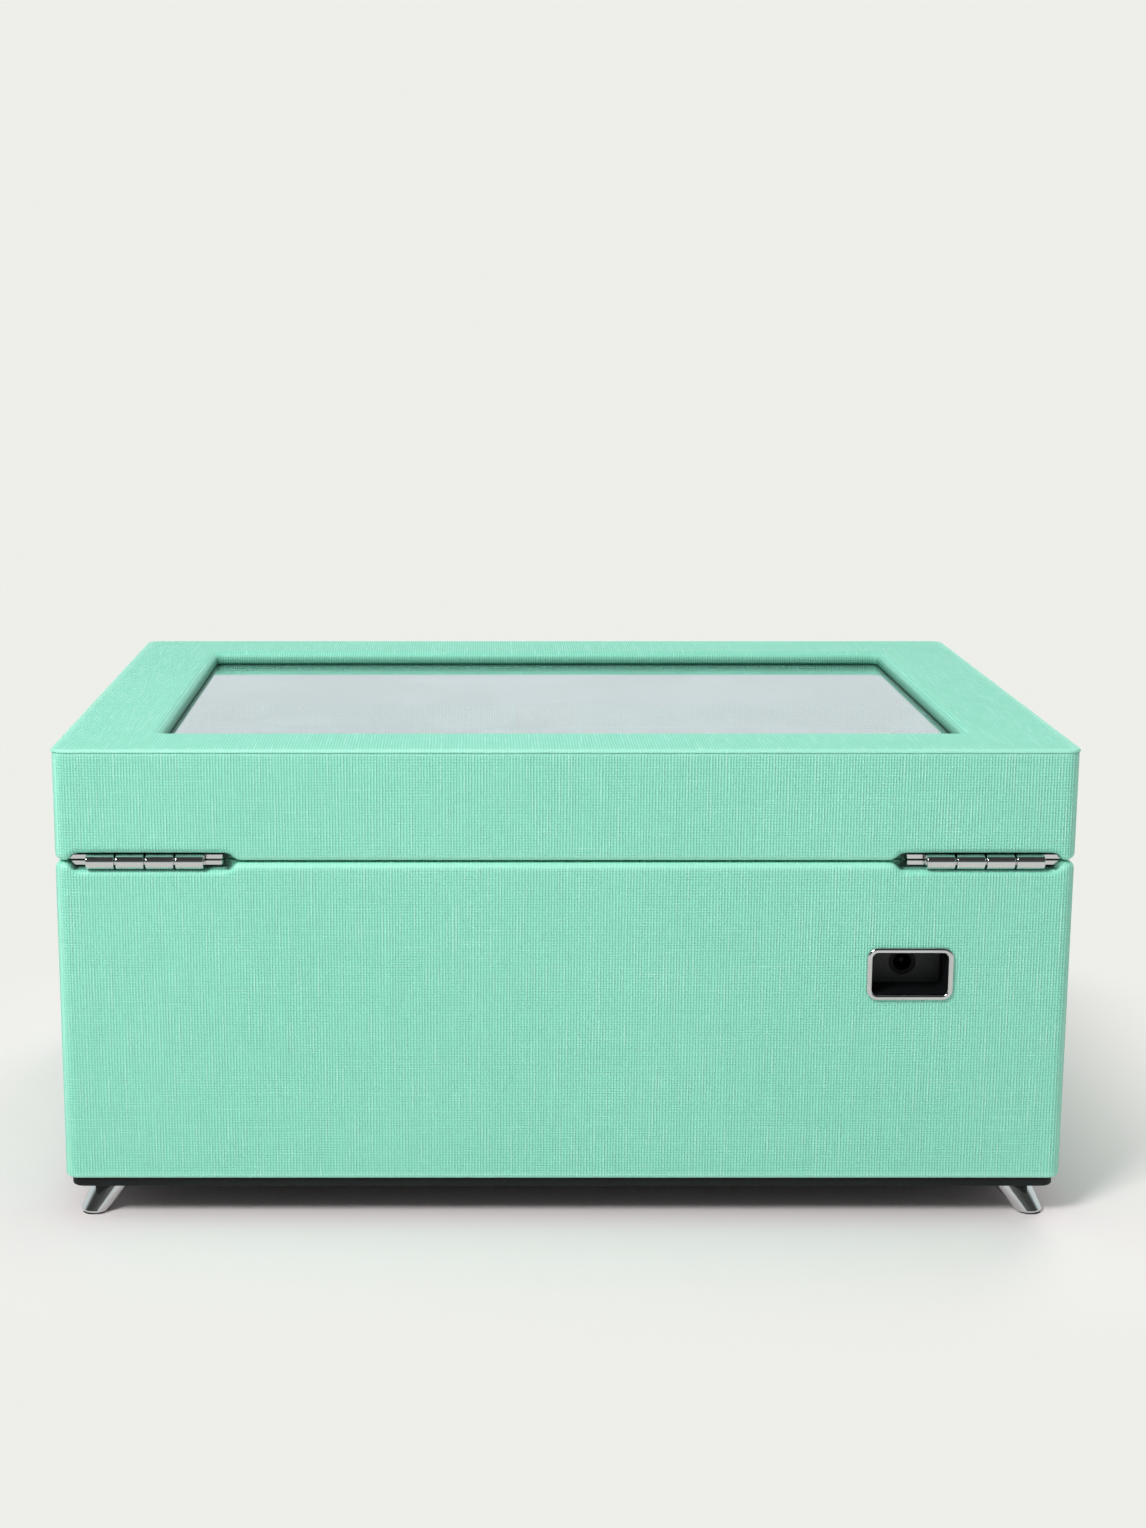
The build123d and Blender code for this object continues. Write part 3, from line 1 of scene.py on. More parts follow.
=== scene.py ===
# %% [markdown]
# # A covered watch and jewellery box
# The box is fibreboard wrapped in mint leatherette, embossed like coarse linen, on four bright splayed feet.
# Its lid carries a glass pane, and inside are a tilted watch winder, watch cushions, ring rolls and a tray.
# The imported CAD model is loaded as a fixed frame. This lesson gives its nodes their finishes, and builds the
# soft and small pieces around them. Everything is in metres, in the frame of the CAD model.

# %% Load the frame
import json

import bmesh
import bpy
import numpy as np
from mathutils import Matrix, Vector


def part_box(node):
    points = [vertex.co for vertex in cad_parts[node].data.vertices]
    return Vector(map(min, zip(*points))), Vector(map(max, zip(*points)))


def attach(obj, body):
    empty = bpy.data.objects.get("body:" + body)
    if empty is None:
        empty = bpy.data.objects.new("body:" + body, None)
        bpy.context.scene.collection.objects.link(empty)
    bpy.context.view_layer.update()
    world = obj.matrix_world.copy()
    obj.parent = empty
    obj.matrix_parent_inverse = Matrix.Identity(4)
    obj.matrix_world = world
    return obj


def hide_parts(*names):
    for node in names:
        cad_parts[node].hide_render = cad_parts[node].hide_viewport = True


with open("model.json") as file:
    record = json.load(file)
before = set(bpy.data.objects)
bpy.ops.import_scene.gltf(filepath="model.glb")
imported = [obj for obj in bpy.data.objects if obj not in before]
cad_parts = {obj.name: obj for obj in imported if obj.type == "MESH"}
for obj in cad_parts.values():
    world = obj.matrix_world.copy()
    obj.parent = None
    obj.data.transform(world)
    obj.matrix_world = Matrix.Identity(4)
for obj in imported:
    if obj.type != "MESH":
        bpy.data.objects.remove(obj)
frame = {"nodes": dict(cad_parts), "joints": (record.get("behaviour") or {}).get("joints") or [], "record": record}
nodes = frame["nodes"]
joints = {joint["name"]: joint for joint in frame["joints"]}
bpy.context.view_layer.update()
scene = bpy.context.scene
scene.view_settings.view_transform = "Standard"

# %% [markdown]
# ## Camera
# The photograph looks at the rear of the box from a little above, and nearly square on. Its verticals stay
# upright while the view is slightly off to one side, so the camera is level in roll and uses a small lens
# shift instead of turning. The lens and the place come from fitting the box's corners in perspective.

# %% Camera
CAMERA_PLACE = (0.0261, 0.7806, 0.2759)
CAMERA_PITCH = np.radians(11.387)
CAMERA_LENS = 55.64
CAMERA_SHIFT = 0.0634

camera_data = bpy.data.cameras.new("rear_view")
camera_data.lens = CAMERA_LENS
camera_data.shift_x = CAMERA_SHIFT
camera = bpy.data.objects.new("rear_view", camera_data)
camera.location = CAMERA_PLACE
camera.rotation_euler = (np.pi / 2 - CAMERA_PITCH, 0, np.pi)
scene.collection.objects.link(camera)
scene.camera = camera
print("camera:", CAMERA_LENS, "mm lens, pitched down", round(np.degrees(CAMERA_PITCH), 2), "degrees")

# %% [markdown]
# ## Surfaces as arrays
# Every new piece is a grid of points: rows run one way over the surface and columns the other. Numpy works
# out all the points at once, and one helper turns a grid into quads. A grid can close round its columns, and
# its first and last rows can close onto a middle point, so tubes, caps and cushions are all watertight.


# %% Grid helpers
def grid_faces(rows, columns, wrap_rows, wrap_columns):
    """Quads between neighbouring grid points. Wrapping joins the last row or column to the first."""
    row = np.arange(rows if wrap_rows else rows - 1)[:, None]
    column = np.arange(columns if wrap_columns else columns - 1)[None, :]
    next_row = (row + 1) % rows
    next_column = (column + 1) % columns
    corners = [row * columns + column, row * columns + next_column,
               next_row * columns + next_column, next_row * columns + column]
    spread = [np.broadcast_to(corner, (row.size, column.size)) for corner in corners]
    return np.stack(spread, -1).reshape(-1, 4)


def pole_faces(columns, ring_start, pole, turned):
    """A fan of triangles from a ring of points to one middle point."""
    here = ring_start + np.arange(columns)
    there = ring_start + (np.arange(columns) + 1) % columns
    ends = (there, here) if turned else (here, there)
    return np.column_stack([np.full(columns, pole), *ends])


def closed_surface(name, grids, wrap_rows=False, poles=True):
    """One smooth mesh object from grids of shape rows by columns by 3, all closed round their columns."""
    points, faces, start = [], [], 0
    for grid in grids:
        rows, columns = grid.shape[:2]
        points.append(grid.reshape(-1, 3))
        faces += (grid_faces(rows, columns, wrap_rows, True) + start).tolist()
        count = rows * columns
        if poles and not wrap_rows:
            points.append(np.stack([grid[0].mean(0), grid[-1].mean(0)]))
            faces += pole_faces(columns, start, start + count, True).tolist()
            faces += pole_faces(columns, start + count - columns, start + count + 1, False).tolist()
            count += 2
        start += count
    mesh = bpy.data.meshes.new(name)
    mesh.from_pydata(np.concatenate(points).tolist(), [], faces)
    mesh.polygons.foreach_set("use_smooth", np.ones(len(mesh.polygons), bool))
    mesh.update()
    piece = bpy.data.objects.new(name, mesh)
    scene.collection.objects.link(piece)
    return piece


# %% [markdown]
# ## Outlines, tubes and readings
# Two forms come back often: a rounded rectangle, walked in even steps, and a round tube along a closed path.
# The CAD nodes are read as arrays too, so that a new piece takes its size from the solid that it stands for.

# %% Outline, tube and reading helpers
QUARTER_POINTS = 13


def rounded_outline(width, height, corner, count):
    """Even points round a rounded rectangle: four quarter circles joined by straight runs."""
    turn = np.arange(4)[:, None] * np.pi / 2 + np.linspace(0, np.pi / 2, QUARTER_POINTS)
    x = (width / 2 - corner) * np.array([[1], [-1], [-1], [1]]) + corner * np.cos(turn)
    y = (height / 2 - corner) * np.array([[1], [1], [-1], [-1]]) + corner * np.sin(turn)
    loop = np.column_stack([x.ravel(), y.ravel()])
    loop = np.vstack([loop, loop[:1]])
    travel = np.concatenate([[0], np.cumsum(np.linalg.norm(np.diff(loop, axis=0), axis=1))])
    places = np.linspace(0, travel[-1], count, endpoint=False)
    return np.column_stack([np.interp(places, travel, loop[:, axis]) for axis in range(2)])


def tube(path, radius, sides):
    """A round tube along a closed path: each ring stands square to the path's own direction."""
    ahead = np.roll(path, -1, 0) - np.roll(path, 1, 0)
    ahead /= np.linalg.norm(ahead, axis=1, keepdims=True)
    normal = np.linalg.svd(path - path.mean(0))[2][2]
    outward = np.cross(ahead, normal)
    angle = np.linspace(0, 2 * np.pi, sides, endpoint=False)[None, :, None]
    return path[:, None] + radius * (np.cos(angle) * outward[:, None] + np.sin(angle) * normal)


def mesh_points(mesh):
    """All the points of a mesh, one row each."""
    points = np.empty(len(mesh.vertices) * 3, np.float32)
    mesh.vertices.foreach_get("co", points)
    return points.reshape(-1, 3).astype(float)


def dress(piece, material, body):
    """Give a new piece its finish and its body."""
    piece.data.materials.append(material)
    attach(piece, body)
    return piece


# %% [markdown]
# ## Shader helpers
# A finish is a small graph of shader nodes. The Graph helper adds a node, sets its options, and feeds each
# input either from another socket or with a plain number, which keeps the graphs below short enough to read.


# %% Graph helper
class Graph:
    """Adds nodes to one shader tree."""

    def __init__(self, tree):
        self.tree = tree

    def feed(self, socket, value):
        """Link a socket to another one, or set its plain value."""
        if isinstance(value, bpy.types.NodeSocket):
            self.tree.links.new(value, socket)
        else:
            socket.default_value = value

    def node(self, kind, inputs=None, **options):
        """A new node with its options set and its inputs fed."""
        made = self.tree.nodes.new(kind)
        for name, value in options.items():
            setattr(made, name, value)
        for key, value in (inputs or {}).items():
            self.feed(made.inputs[key], value)
        return made

    def math(self, operation, *values):
        """The result of one sum."""
        made = self.node("ShaderNodeMath", operation=operation)
        for socket, value in zip(made.inputs, values):
            self.feed(socket, value)
        return made.outputs[0]

    def times(self, first, *others):
        """The product of two or more values."""
        for other in others:
            first = self.math("MULTIPLY", first, other)
        return first

    def flip(self, value):
        """1 minus a value, which turns a mask over."""
        return self.math("SUBTRACT", 1.0, value)

    def vector_math(self, operation, *values):
        """The result of one sum on vectors."""
        made = self.node("ShaderNodeVectorMath", operation=operation)
        for socket, value in zip(made.inputs, values):
            self.feed(socket, value)
        return made.outputs["Value" if operation == "LENGTH" else "Vector"]

    def ramp(self, value, low, high):
        """0 below low, 1 above high, and a smooth step between."""
        inputs = {"Value": value, "From Min": low, "From Max": high}
        return self.node("ShaderNodeMapRange", inputs, interpolation_type="SMOOTHSTEP").outputs[0]

    def noise(self, vector, scale, detail=2.0):
        """Soft noise from 0 to 1."""
        inputs = {"Vector": vector, "Scale": scale, "Detail": detail}
        return self.node("ShaderNodeTexNoise", inputs).outputs["Fac"]

    def combine(self, x, y, z):
        """A vector from three values."""
        return self.node("ShaderNodeCombineXYZ", {"X": x, "Y": y, "Z": z}).outputs[0]

    def separate(self, vector):
        """The three values of a vector, by the names X, Y and Z."""
        return self.node("ShaderNodeSeparateXYZ", {0: vector}).outputs

    def blend(self, share, first, second):
        """A colour between two colours."""
        made = self.node("ShaderNodeMix", data_type="RGBA")
        for key, value in ((0, share), (6, first), (7, second)):
            self.feed(made.inputs[key], value)
        return made.outputs[2]

    def group(self, tree, inputs):
        """The outputs of a node group."""
        return self.node("ShaderNodeGroup", inputs, node_tree=tree).outputs

    def relief(self, shader, height, depth, strength):
        """Feed a shader's normal from a height. The depth is in metres."""
        inputs = {"Height": height, "Distance": depth, "Strength": strength}
        self.feed(shader["Normal"], self.node("ShaderNodeBump", inputs).outputs[0])


# %% [markdown]
# ## Groups and materials
# An effect that several materials share is a node group with named sockets: a learner can open it in the node
# editor and change it once for all of them. A material starts as one Principled shader.


# %% Group and material helpers
def new_group(name, inputs, outputs):
    """An empty node group with named sockets: its graph, its input sockets and its output sockets."""
    tree = bpy.data.node_groups.new(name, "ShaderNodeTree")
    kinds = {float: "NodeSocketFloat", tuple: "NodeSocketVector"}
    for label, value in inputs.items():
        socket = tree.interface.new_socket(label, in_out="INPUT", socket_type=kinds[type(value)])
        socket.default_value = value
    for label in outputs:
        kind = "NodeSocketVector" if label == "Panel" else "NodeSocketFloat"
        tree.interface.new_socket(label, in_out="OUTPUT", socket_type=kind)
    graph = Graph(tree)
    return graph, graph.node("NodeGroupInput").outputs, graph.node("NodeGroupOutput").inputs


def new_material(name, **sockets):
    """A material with one Principled shader. Plain values go straight onto the shader's own sockets."""
    material = bpy.data.materials.new(name)
    material.use_nodes = True
    graph = Graph(material.node_tree)
    shader = material.node_tree.nodes["Principled BSDF"]
    for label, value in sockets.items():
        shader.inputs[label.replace("_", " ")].default_value = value
    return material, graph, shader.inputs


# %% [markdown]
# ## Background
# The photograph's background is a pale wall without a horizon. The Light Path node keeps light and looks
# apart: rays that carry light meet an even white sky, and rays from the camera, a mirror or glass meet what
# should be seen. Bright metal mirrors the room, so for mirrored rays the ceiling and the wall behind the
# camera are dim, as in a real studio, and the metal has something to show. The lid's pane stops the direct
# light of the lamps, so the sky's light through the glass is made stronger, and the inside isn't left dark.

# %% Background
BACKGROUND = (0.855, 0.86, 0.82, 1.0)
DARK_CEILING = (0.06, 0.065, 0.06, 1.0)
DIM_WALL = (0.13, 0.135, 0.13, 1.0)
PALE_WALL = (0.82, 0.905, 0.92, 1.0)
WALL_TURN, WALL_RISE, CEILING_RISE = (-0.1, 0.3), (0.0, 0.2), (0.3, 0.55)
AMBIENT = 0.4
THROUGH_GLASS = 6.0


def seen_rays(graph):
    """1 for rays from the camera, a mirror or glass, and 0 for rays that carry light."""
    path = graph.node("ShaderNodeLightPath").outputs
    shown = graph.math("MAXIMUM", path["Is Camera Ray"], path["Is Glossy Ray"])
    return graph.math("MAXIMUM", shown, path["Is Transmission Ray"])


def make_world():
    """A white sky for light, and a room for mirrored rays: pale in front, dim behind and dark above."""
    world = bpy.data.worlds.new("studio")
    world.use_nodes = True
    scene.world = world
    world.node_tree.nodes.clear()
    graph = Graph(world.node_tree)
    light = graph.node("ShaderNodeBackground", {"Color": (1, 1, 1, 1), "Strength": AMBIENT})
    toward = graph.separate(graph.node("ShaderNodeTexCoord").outputs["Generated"])
    path = graph.node("ShaderNodeLightPath").outputs
    behind = graph.times(graph.ramp(toward["Y"], *WALL_TURN), graph.ramp(toward["Z"], *WALL_RISE))
    room = graph.blend(behind, PALE_WALL, DIM_WALL)
    room = graph.blend(graph.ramp(toward["Z"], *CEILING_RISE), room, DARK_CEILING)
    room = graph.blend(path["Is Glossy Ray"], BACKGROUND, room)
    after_matt = graph.math("MINIMUM", path["Diffuse Depth"], 1.0)
    carries_light = graph.times(path["Is Transmission Ray"], after_matt)
    strength = graph.math("MULTIPLY_ADD", carries_light, THROUGH_GLASS - 1.0, 1.0)
    shown = graph.node("ShaderNodeBackground", {"Color": room, "Strength": strength})
    shaders = {0: seen_rays(graph), 1: light.outputs[0], 2: shown.outputs[0]}
    mix = graph.node("ShaderNodeMixShader", shaders)
    graph.node("ShaderNodeOutputWorld", {"Surface": mix.outputs[0]})


make_world()
print("background: sky strength", AMBIENT, "and", THROUGH_GLASS, "for light through the glass")

# %% [markdown]
# ## Floor
# The floor is a wide disc. Near the box it is a plain matt surface that takes the shadow. Further out it
# turns into the background's own brightness, but only for rays that show, so the light on the object isn't
# changed. From below it is clear, so that a camera can look at the underside.

# %% Floor
FLOOR_COLOUR = (0.8, 0.755, 0.75, 1.0)
FLOOR_RADIUS = 5.0
FLOOR_RINGS, FLOOR_SIDES, FIRST_RING = 24, 96, 0.02
FOOTPRINT = (0.15, 0.108, 0.0)
FADE_START, FADE_END = 0.0, 0.1


def floor_finish():
    """Matt near the box's footprint, glowing like the background further out, and clear from below."""
    material, graph, _ = new_material("studio_floor", Base_Color=FLOOR_COLOUR, Roughness=0.9)
    place = graph.vector_math("ABSOLUTE", graph.node("ShaderNodeTexCoord").outputs["Object"])
    outside = graph.vector_math("MAXIMUM", graph.vector_math("SUBTRACT", place, FOOTPRINT), (0, 0, 0))
    distance = graph.vector_math("LENGTH", outside)
    fade = graph.times(graph.ramp(distance, FADE_START, FADE_END), seen_rays(graph))
    glow = graph.node("ShaderNodeEmission", {"Color": BACKGROUND, "Strength": 1.0})
    matt = material.node_tree.nodes["Principled BSDF"].outputs[0]
    faded = graph.node("ShaderNodeMixShader", {0: fade, 1: matt, 2: glow.outputs[0]})
    below = graph.node("ShaderNodeNewGeometry").outputs["Backfacing"]
    clear = graph.node("ShaderNodeBsdfTransparent").outputs[0]
    shown = graph.node("ShaderNodeMixShader", {0: below, 1: faded.outputs[0], 2: clear})
    graph.feed(material.node_tree.nodes["Material Output"].inputs["Surface"], shown.outputs[0])
    return material


def make_floor():
    """A disc of rings whose reach grows with the square of their number."""
    ring = np.linspace(0, 2 * np.pi, FLOOR_SIDES, endpoint=False)
    reach = FLOOR_RADIUS * np.linspace(FIRST_RING, 1, FLOOR_RINGS)[:, None] ** 2
    disc = np.stack([reach * np.cos(ring), reach * np.sin(ring), 0 * reach * ring], -1)
    made = closed_surface("floor", [disc[::-1]], poles=False)
    made.data.materials.append(floor_finish())
    return made


floor = make_floor()
print("floor:", len(floor.data.polygons), "faces, fading out", FADE_END, "m from the box")

# %% [markdown]
# ## Lamps
# A very large lamp above gives the soft shadow. A smaller one, high and to one side of the camera, rakes over
# the rear wall and brings out its emboss, and a third fills the front. The overhead and front lamps would
# show as white discs in the glass and the metal, so mirrored rays don't see them. None shows through the
# glass.


# %% Lamps
def make_lamp(name, place, aim, size, power, mirrored=True):
    """A round area lamp that faces its aim. Mirrored says whether metal and glass show it."""
    data = bpy.data.lights.new(name, "AREA")
    data.shape = "DISK"
    data.size = size
    data.energy = power
    lamp = bpy.data.objects.new(name, data)
    lamp.location = place
    lamp.rotation_mode = "QUATERNION"
    lamp.rotation_quaternion = (Vector(aim) - Vector(place)).to_track_quat("-Z", "Y")
    lamp.visible_transmission = False
    lamp.visible_glossy = mirrored
    scene.collection.objects.link(lamp)


make_lamp("overhead_lamp", (0.2, 0.2, 1.5), (0, 0, 0.1), size=1.5, power=3.5, mirrored=False)
make_lamp("raking_lamp", (0.75, 1.05, 1.25), (0, 0.1, 0.08), size=0.5, power=21.5)
make_lamp("front_fill_lamp", (-0.8, -1.5, 1.0), (0, -0.1, 0.08), size=1.0, power=16.0, mirrored=False)
print("lamps:", len(bpy.data.lights))

# %% [markdown]
# ## Panels of the cover
# The leatherette lies flat on each wall, so its threads follow the wall. One group turns a point into across
# and along on the panel that it belongs to, which the normal tells: a side, an end or the top. At a fold the
# panel changes and the threads of both don't meet, so the group also marks the places near a change. There
# the emboss is let fade, as it does on a real fold.

# %% Panel group
TOP_LIMIT = 0.7
CHANGE_REACH = (0.1, 0.3)
UPRIGHT_LIMITS = (0.5, 0.9)


def make_panel_group():
    """Panel is across, along and the panel's number. Top is 1 on level panels. Fold is 1 near a change."""
    inputs = {"Position": (0, 0, 0), "Normal": (0, 0, 1)}
    graph, given, result = new_group("panel_mapping", inputs, ["Panel", "Top", "Fold"])
    place = graph.separate(given["Position"])
    facing = graph.separate(graph.vector_math("ABSOLUTE", given["Normal"]))
    top = graph.math("GREATER_THAN", facing["Z"], TOP_LIMIT)
    side = graph.times(graph.math("GREATER_THAN", facing["X"], facing["Y"]), graph.flip(top))
    across = graph.math("MULTIPLY_ADD", side, graph.math("SUBTRACT", place["Y"], place["X"]), place["X"])
    along = graph.math("MULTIPLY_ADD", top, graph.math("SUBTRACT", place["Y"], place["Z"]), place["Z"])
    number = graph.math("ADD", side, graph.times(top, 2.0))
    graph.feed(result["Panel"], graph.combine(across, along, number))
    graph.feed(result["Top"], top)

    def near_change(value, limit):
        """1 where a share of the normal is close to the limit at which the panel changes."""
        gap = graph.math("ABSOLUTE", graph.math("SUBTRACT", value, limit))
        return graph.flip(graph.ramp(gap, *CHANGE_REACH))

    upright = graph.flip(graph.ramp(facing["Z"], *UPRIGHT_LIMITS))
    round_corner = graph.times(near_change(facing["X"], facing["Y"]), upright)
    graph.feed(result["Fold"], graph.math("MAXIMUM", near_change(facing["Z"], TOP_LIMIT), round_corner))
    return graph.tree


PANEL_GROUP = make_panel_group()
print("group:", PANEL_GROUP.name)

# %% [markdown]
# ## The linen emboss
# The leatherette is pressed with the weave of a coarse linen: threads a little under a millimetre apart, with
# the upright ones standing highest. A picture of cloth would repeat, so the weave is worked out. Each set of
# threads is a cosine across the sheet, and noise stretched along the threads makes their spacing uneven.
# Rounding the cosine's turns gives each thread its own number, and noise read at that number says how full
# the thread is and where it thickens into a slub. Where the other set crosses, the upright threads rise and
# fall, which reads as beads along them.

# %% Linen group
WEFT_SPACING = 0.965
DRIFT_RATES = (0.26, 0.02)
BEADING_RATE = 0.09
OWN_RATE, NUMBER_STEP = 0.05, 7.3
WARP_SEED, WEFT_SEED, BEADING_SEED = 3.0, 9.0, 15.0
NOISE_MIDDLE = (0.3, 0.7)
LEAST_FULLNESS = 0.8
LEAST_BEADING, MORE_BEADING = 0.3, 0.3
WEFT_SHARE = 0.15
WARP_SLUBS, WEFT_SLUBS = (0.52, 0.74), (0.56, 0.78)
WEFT_SLUB_SHARE = 0.5
SLUB_RISE = 0.15


def make_linen_group():
    """Weave is the height of the plain threads, Slub marks the thick ones and Height is both together."""
    inputs = {"Panel": (0, 0, 0), "Thread Pitch": 0.001, "Unevenness": 1.0}
    graph, given, result = new_group("linen_emboss", inputs, ["Height", "Weave", "Slub"])
    panel = graph.separate(given["Panel"])
    warp_count = graph.math("DIVIDE", panel["X"], given["Thread Pitch"])
    weft_pitch = graph.times(given["Thread Pitch"], WEFT_SPACING)
    weft_count = graph.math("DIVIDE", panel["Y"], weft_pitch)

    def stretched_noise(across, along, seed):
        """Noise over the sheet, counted in threads, with its own rate across and along."""
        counts = graph.times(warp_count, across), graph.times(weft_count, along)
        return graph.noise(graph.combine(*counts, graph.math("ADD", panel["Z"], seed)), 1.0, 1.0)

    def threads(count, other_count, rates, seed):
        """One set of threads: ridges of uneven spacing, and how full each thread is just there."""
        drift = graph.math("SUBTRACT", stretched_noise(*rates, seed), 0.5)
        turns = graph.math("MULTIPLY_ADD", drift, given["Unevenness"], count)
        wave = graph.math("COSINE", graph.times(turns, 2 * np.pi))
        own_number = graph.math("MULTIPLY_ADD", graph.math("ROUND", turns), NUMBER_STEP, seed)
        travel = graph.times(other_count, OWN_RATE)
        body = graph.noise(graph.combine(own_number, travel, panel["Z"]), 1.0, 1.0)
        return graph.math("MULTIPLY_ADD", wave, 0.5, 0.5), body

    warp, warp_body = threads(warp_count, weft_count, DRIFT_RATES, WARP_SEED)
    weft, weft_body = threads(weft_count, warp_count, DRIFT_RATES[::-1], WEFT_SEED)
    fullness = graph.ramp(warp_body, *NOISE_MIDDLE)
    fullness = graph.math("MULTIPLY_ADD", fullness, 1 - LEAST_FULLNESS, LEAST_FULLNESS)
    beading = graph.ramp(stretched_noise(BEADING_RATE, BEADING_RATE, BEADING_SEED), *NOISE_MIDDLE)
    beading = graph.math("MULTIPLY_ADD", beading, MORE_BEADING, LEAST_BEADING)
    gap = graph.times(graph.flip(weft), beading)
    beaded = graph.times(warp, fullness, graph.flip(gap))
    weave = graph.math("MULTIPLY_ADD", weft, WEFT_SHARE, graph.times(beaded, 1 - WEFT_SHARE))
    warp_slub = graph.times(warp, graph.ramp(warp_body, *WARP_SLUBS))
    weft_slub = graph.times(weft, graph.ramp(weft_body, *WEFT_SLUBS))
    slub = graph.math("MAXIMUM", warp_slub, graph.times(weft_slub, WEFT_SLUB_SHARE))
    graph.feed(result["Height"], graph.math("MULTIPLY_ADD", slub, SLUB_RISE, weave))
    graph.feed(result["Weave"], weave)
    graph.feed(result["Slub"], slub)
    return graph.tree


LINEN_GROUP = make_linen_group()
print("group:", LINEN_GROUP.name)

# %% [markdown]
# ## Folded edges
# Where the sheet goes round an edge it is stretched: the emboss is flatter there and the colour paler, partly from
# the stretch and partly as a painted highlight along the edge. An edge is where two of three things are near: a
# side, an end, or a level at which the sheet turns over.


# %% Folded edge group
def make_edge_group():
    """Edge is 1 on the edges of the box and the lid, falling to 0 at the reach."""
    levels = ["Bottom", "Rim", "Lid Edge", "Top"]
    inputs = {"Position": (0, 0, 0), "Half Width": 0.1, "Half Depth": 0.1, "Reach": 0.002}
    inputs.update({level: 0.1 for level in levels})
    graph, given, result = new_group("folded_edges", inputs, ["Edge"])
    place = graph.separate(given["Position"])

    def near(value, limit):
        """1 at a limit, falling to 0 at the reach on either side of it."""
        gap = graph.math("ABSOLUTE", graph.math("SUBTRACT", value, limit))
        return graph.flip(graph.ramp(gap, 0.0, given["Reach"]))

    by_side = near(graph.math("ABSOLUTE", place["X"]), given["Half Width"])
    by_end = near(graph.math("ABSOLUTE", place["Y"]), given["Half Depth"])
    by_level = near(place["Z"], given[levels[0]])
    for level in levels[1:]:
        by_level = graph.math("MAXIMUM", by_level, near(place["Z"], given[level]))
    edge = graph.times(by_side, by_end)
    edge = graph.math("MAXIMUM", edge, graph.times(by_side, by_level))
    graph.feed(result["Edge"], graph.math("MAXIMUM", edge, graph.times(by_end, by_level)))
    return graph.tree


EDGE_GROUP = make_edge_group()
print("group:", EDGE_GROUP.name)

# %% [markdown]
# ## Seams, and painted shade in the recess and pockets
# A thin dark line marks each seam where two sheets meet: round the lower edge of the box, and at the left and
# right of the lid, where its top sheet folds over the side band. The line is partly the joint itself and partly
# painted shade of the fold. In the window's recess the colour deepens towards the glass, a painted shade. Inside
# the scooped hinge pockets the colour goes nearly black, a painted shadow of the deep pockets. Each of these is
# a mask, measured from the CAD nodes that it lies beside.

# %% Masks on the leatherette
SEAM_REACH = 0.0003
SEAM_SIDE = (0.002, 0.001)
RECESS_LIP = 0.0006
RECESS_SIDE = (0.003, 0.002)
POCKET_FLOOR_Y = 0.1032
POCKET_RISE = 0.0027
POCKET_LEAD, POCKET_TAIL, POCKET_LIP = 0.0045, 0.001, 0.0006
POCKET_END_SOFT, POCKET_SOFT = 0.004, 0.0004

body_low, body_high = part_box("body_cover")
lid_low, lid_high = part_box("lid_side_cover")
top_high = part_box("lid_top_cover")[1]
pane_low, pane_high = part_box("glass_pane")
leaf_low, leaf_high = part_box("hinge_right_box_leaf")
pocket_ends = sorted([abs(leaf_low.x), abs(leaf_high.x)])
seam_level = (body_high.z + lid_low.z) / 2


def between(graph, value, low, high, soft):
    """1 where a value lies between two limits, with soft ends."""
    above = graph.ramp(value, low, low + soft)
    below = graph.flip(graph.ramp(value, high - soft, high))
    return graph.times(above, below)


def seam_mask(graph, place):
    """1 on the seams, darkened partly as joints and partly as painted shade: all round the lower edge of the box,
    and along the left and right of the lid's top.
    """
    upper = between(graph, place["Z"], lid_high.z - SEAM_REACH, lid_high.z + SEAM_REACH, SEAM_REACH)
    starts, ends = (lid_high.x - inset for inset in SEAM_SIDE)
    on_side = graph.ramp(graph.math("ABSOLUTE", place["X"]), starts, ends)
    lower = between(graph, place["Z"], body_low.z - SEAM_REACH, body_low.z + SEAM_REACH, SEAM_REACH)
    return graph.math("MAXIMUM", graph.times(upper, on_side), lower)


def recess_mask(graph, place):
    """Painted shade in the window's recess: 0 at the top of its inner edge, rising to 1 at the glass."""
    depth = graph.flip(graph.ramp(place["Z"], pane_high.z, top_high.z - RECESS_LIP))
    for axis, half in (("X", pane_high.x), ("Y", pane_high.y)):
        starts, ends = (half - inset for inset in RECESS_SIDE)
        outside = graph.ramp(graph.math("ABSOLUTE", place[axis]), starts, ends)
        depth = graph.times(depth, graph.flip(outside))
    return depth


def pocket_mask(graph, place):
    """Painted shadow: 1 deep inside the hinge pockets."""
    along = graph.math("ABSOLUTE", place["X"])
    starts, ends = pocket_ends[0] - POCKET_LEAD, pocket_ends[1] + POCKET_TAIL
    inside = between(graph, along, starts, ends, POCKET_END_SOFT)
    deep = between(graph, place["Y"], POCKET_FLOOR_Y, body_high.y - POCKET_LIP, POCKET_SOFT)
    low, high = seam_level - POCKET_RISE, seam_level + POCKET_RISE
    level = between(graph, place["Z"], low, high, POCKET_SOFT)
    return graph.times(inside, deep, level)


print("pockets in mm:", [round(1000 * end, 1) for end in pocket_ends], "from the middle")
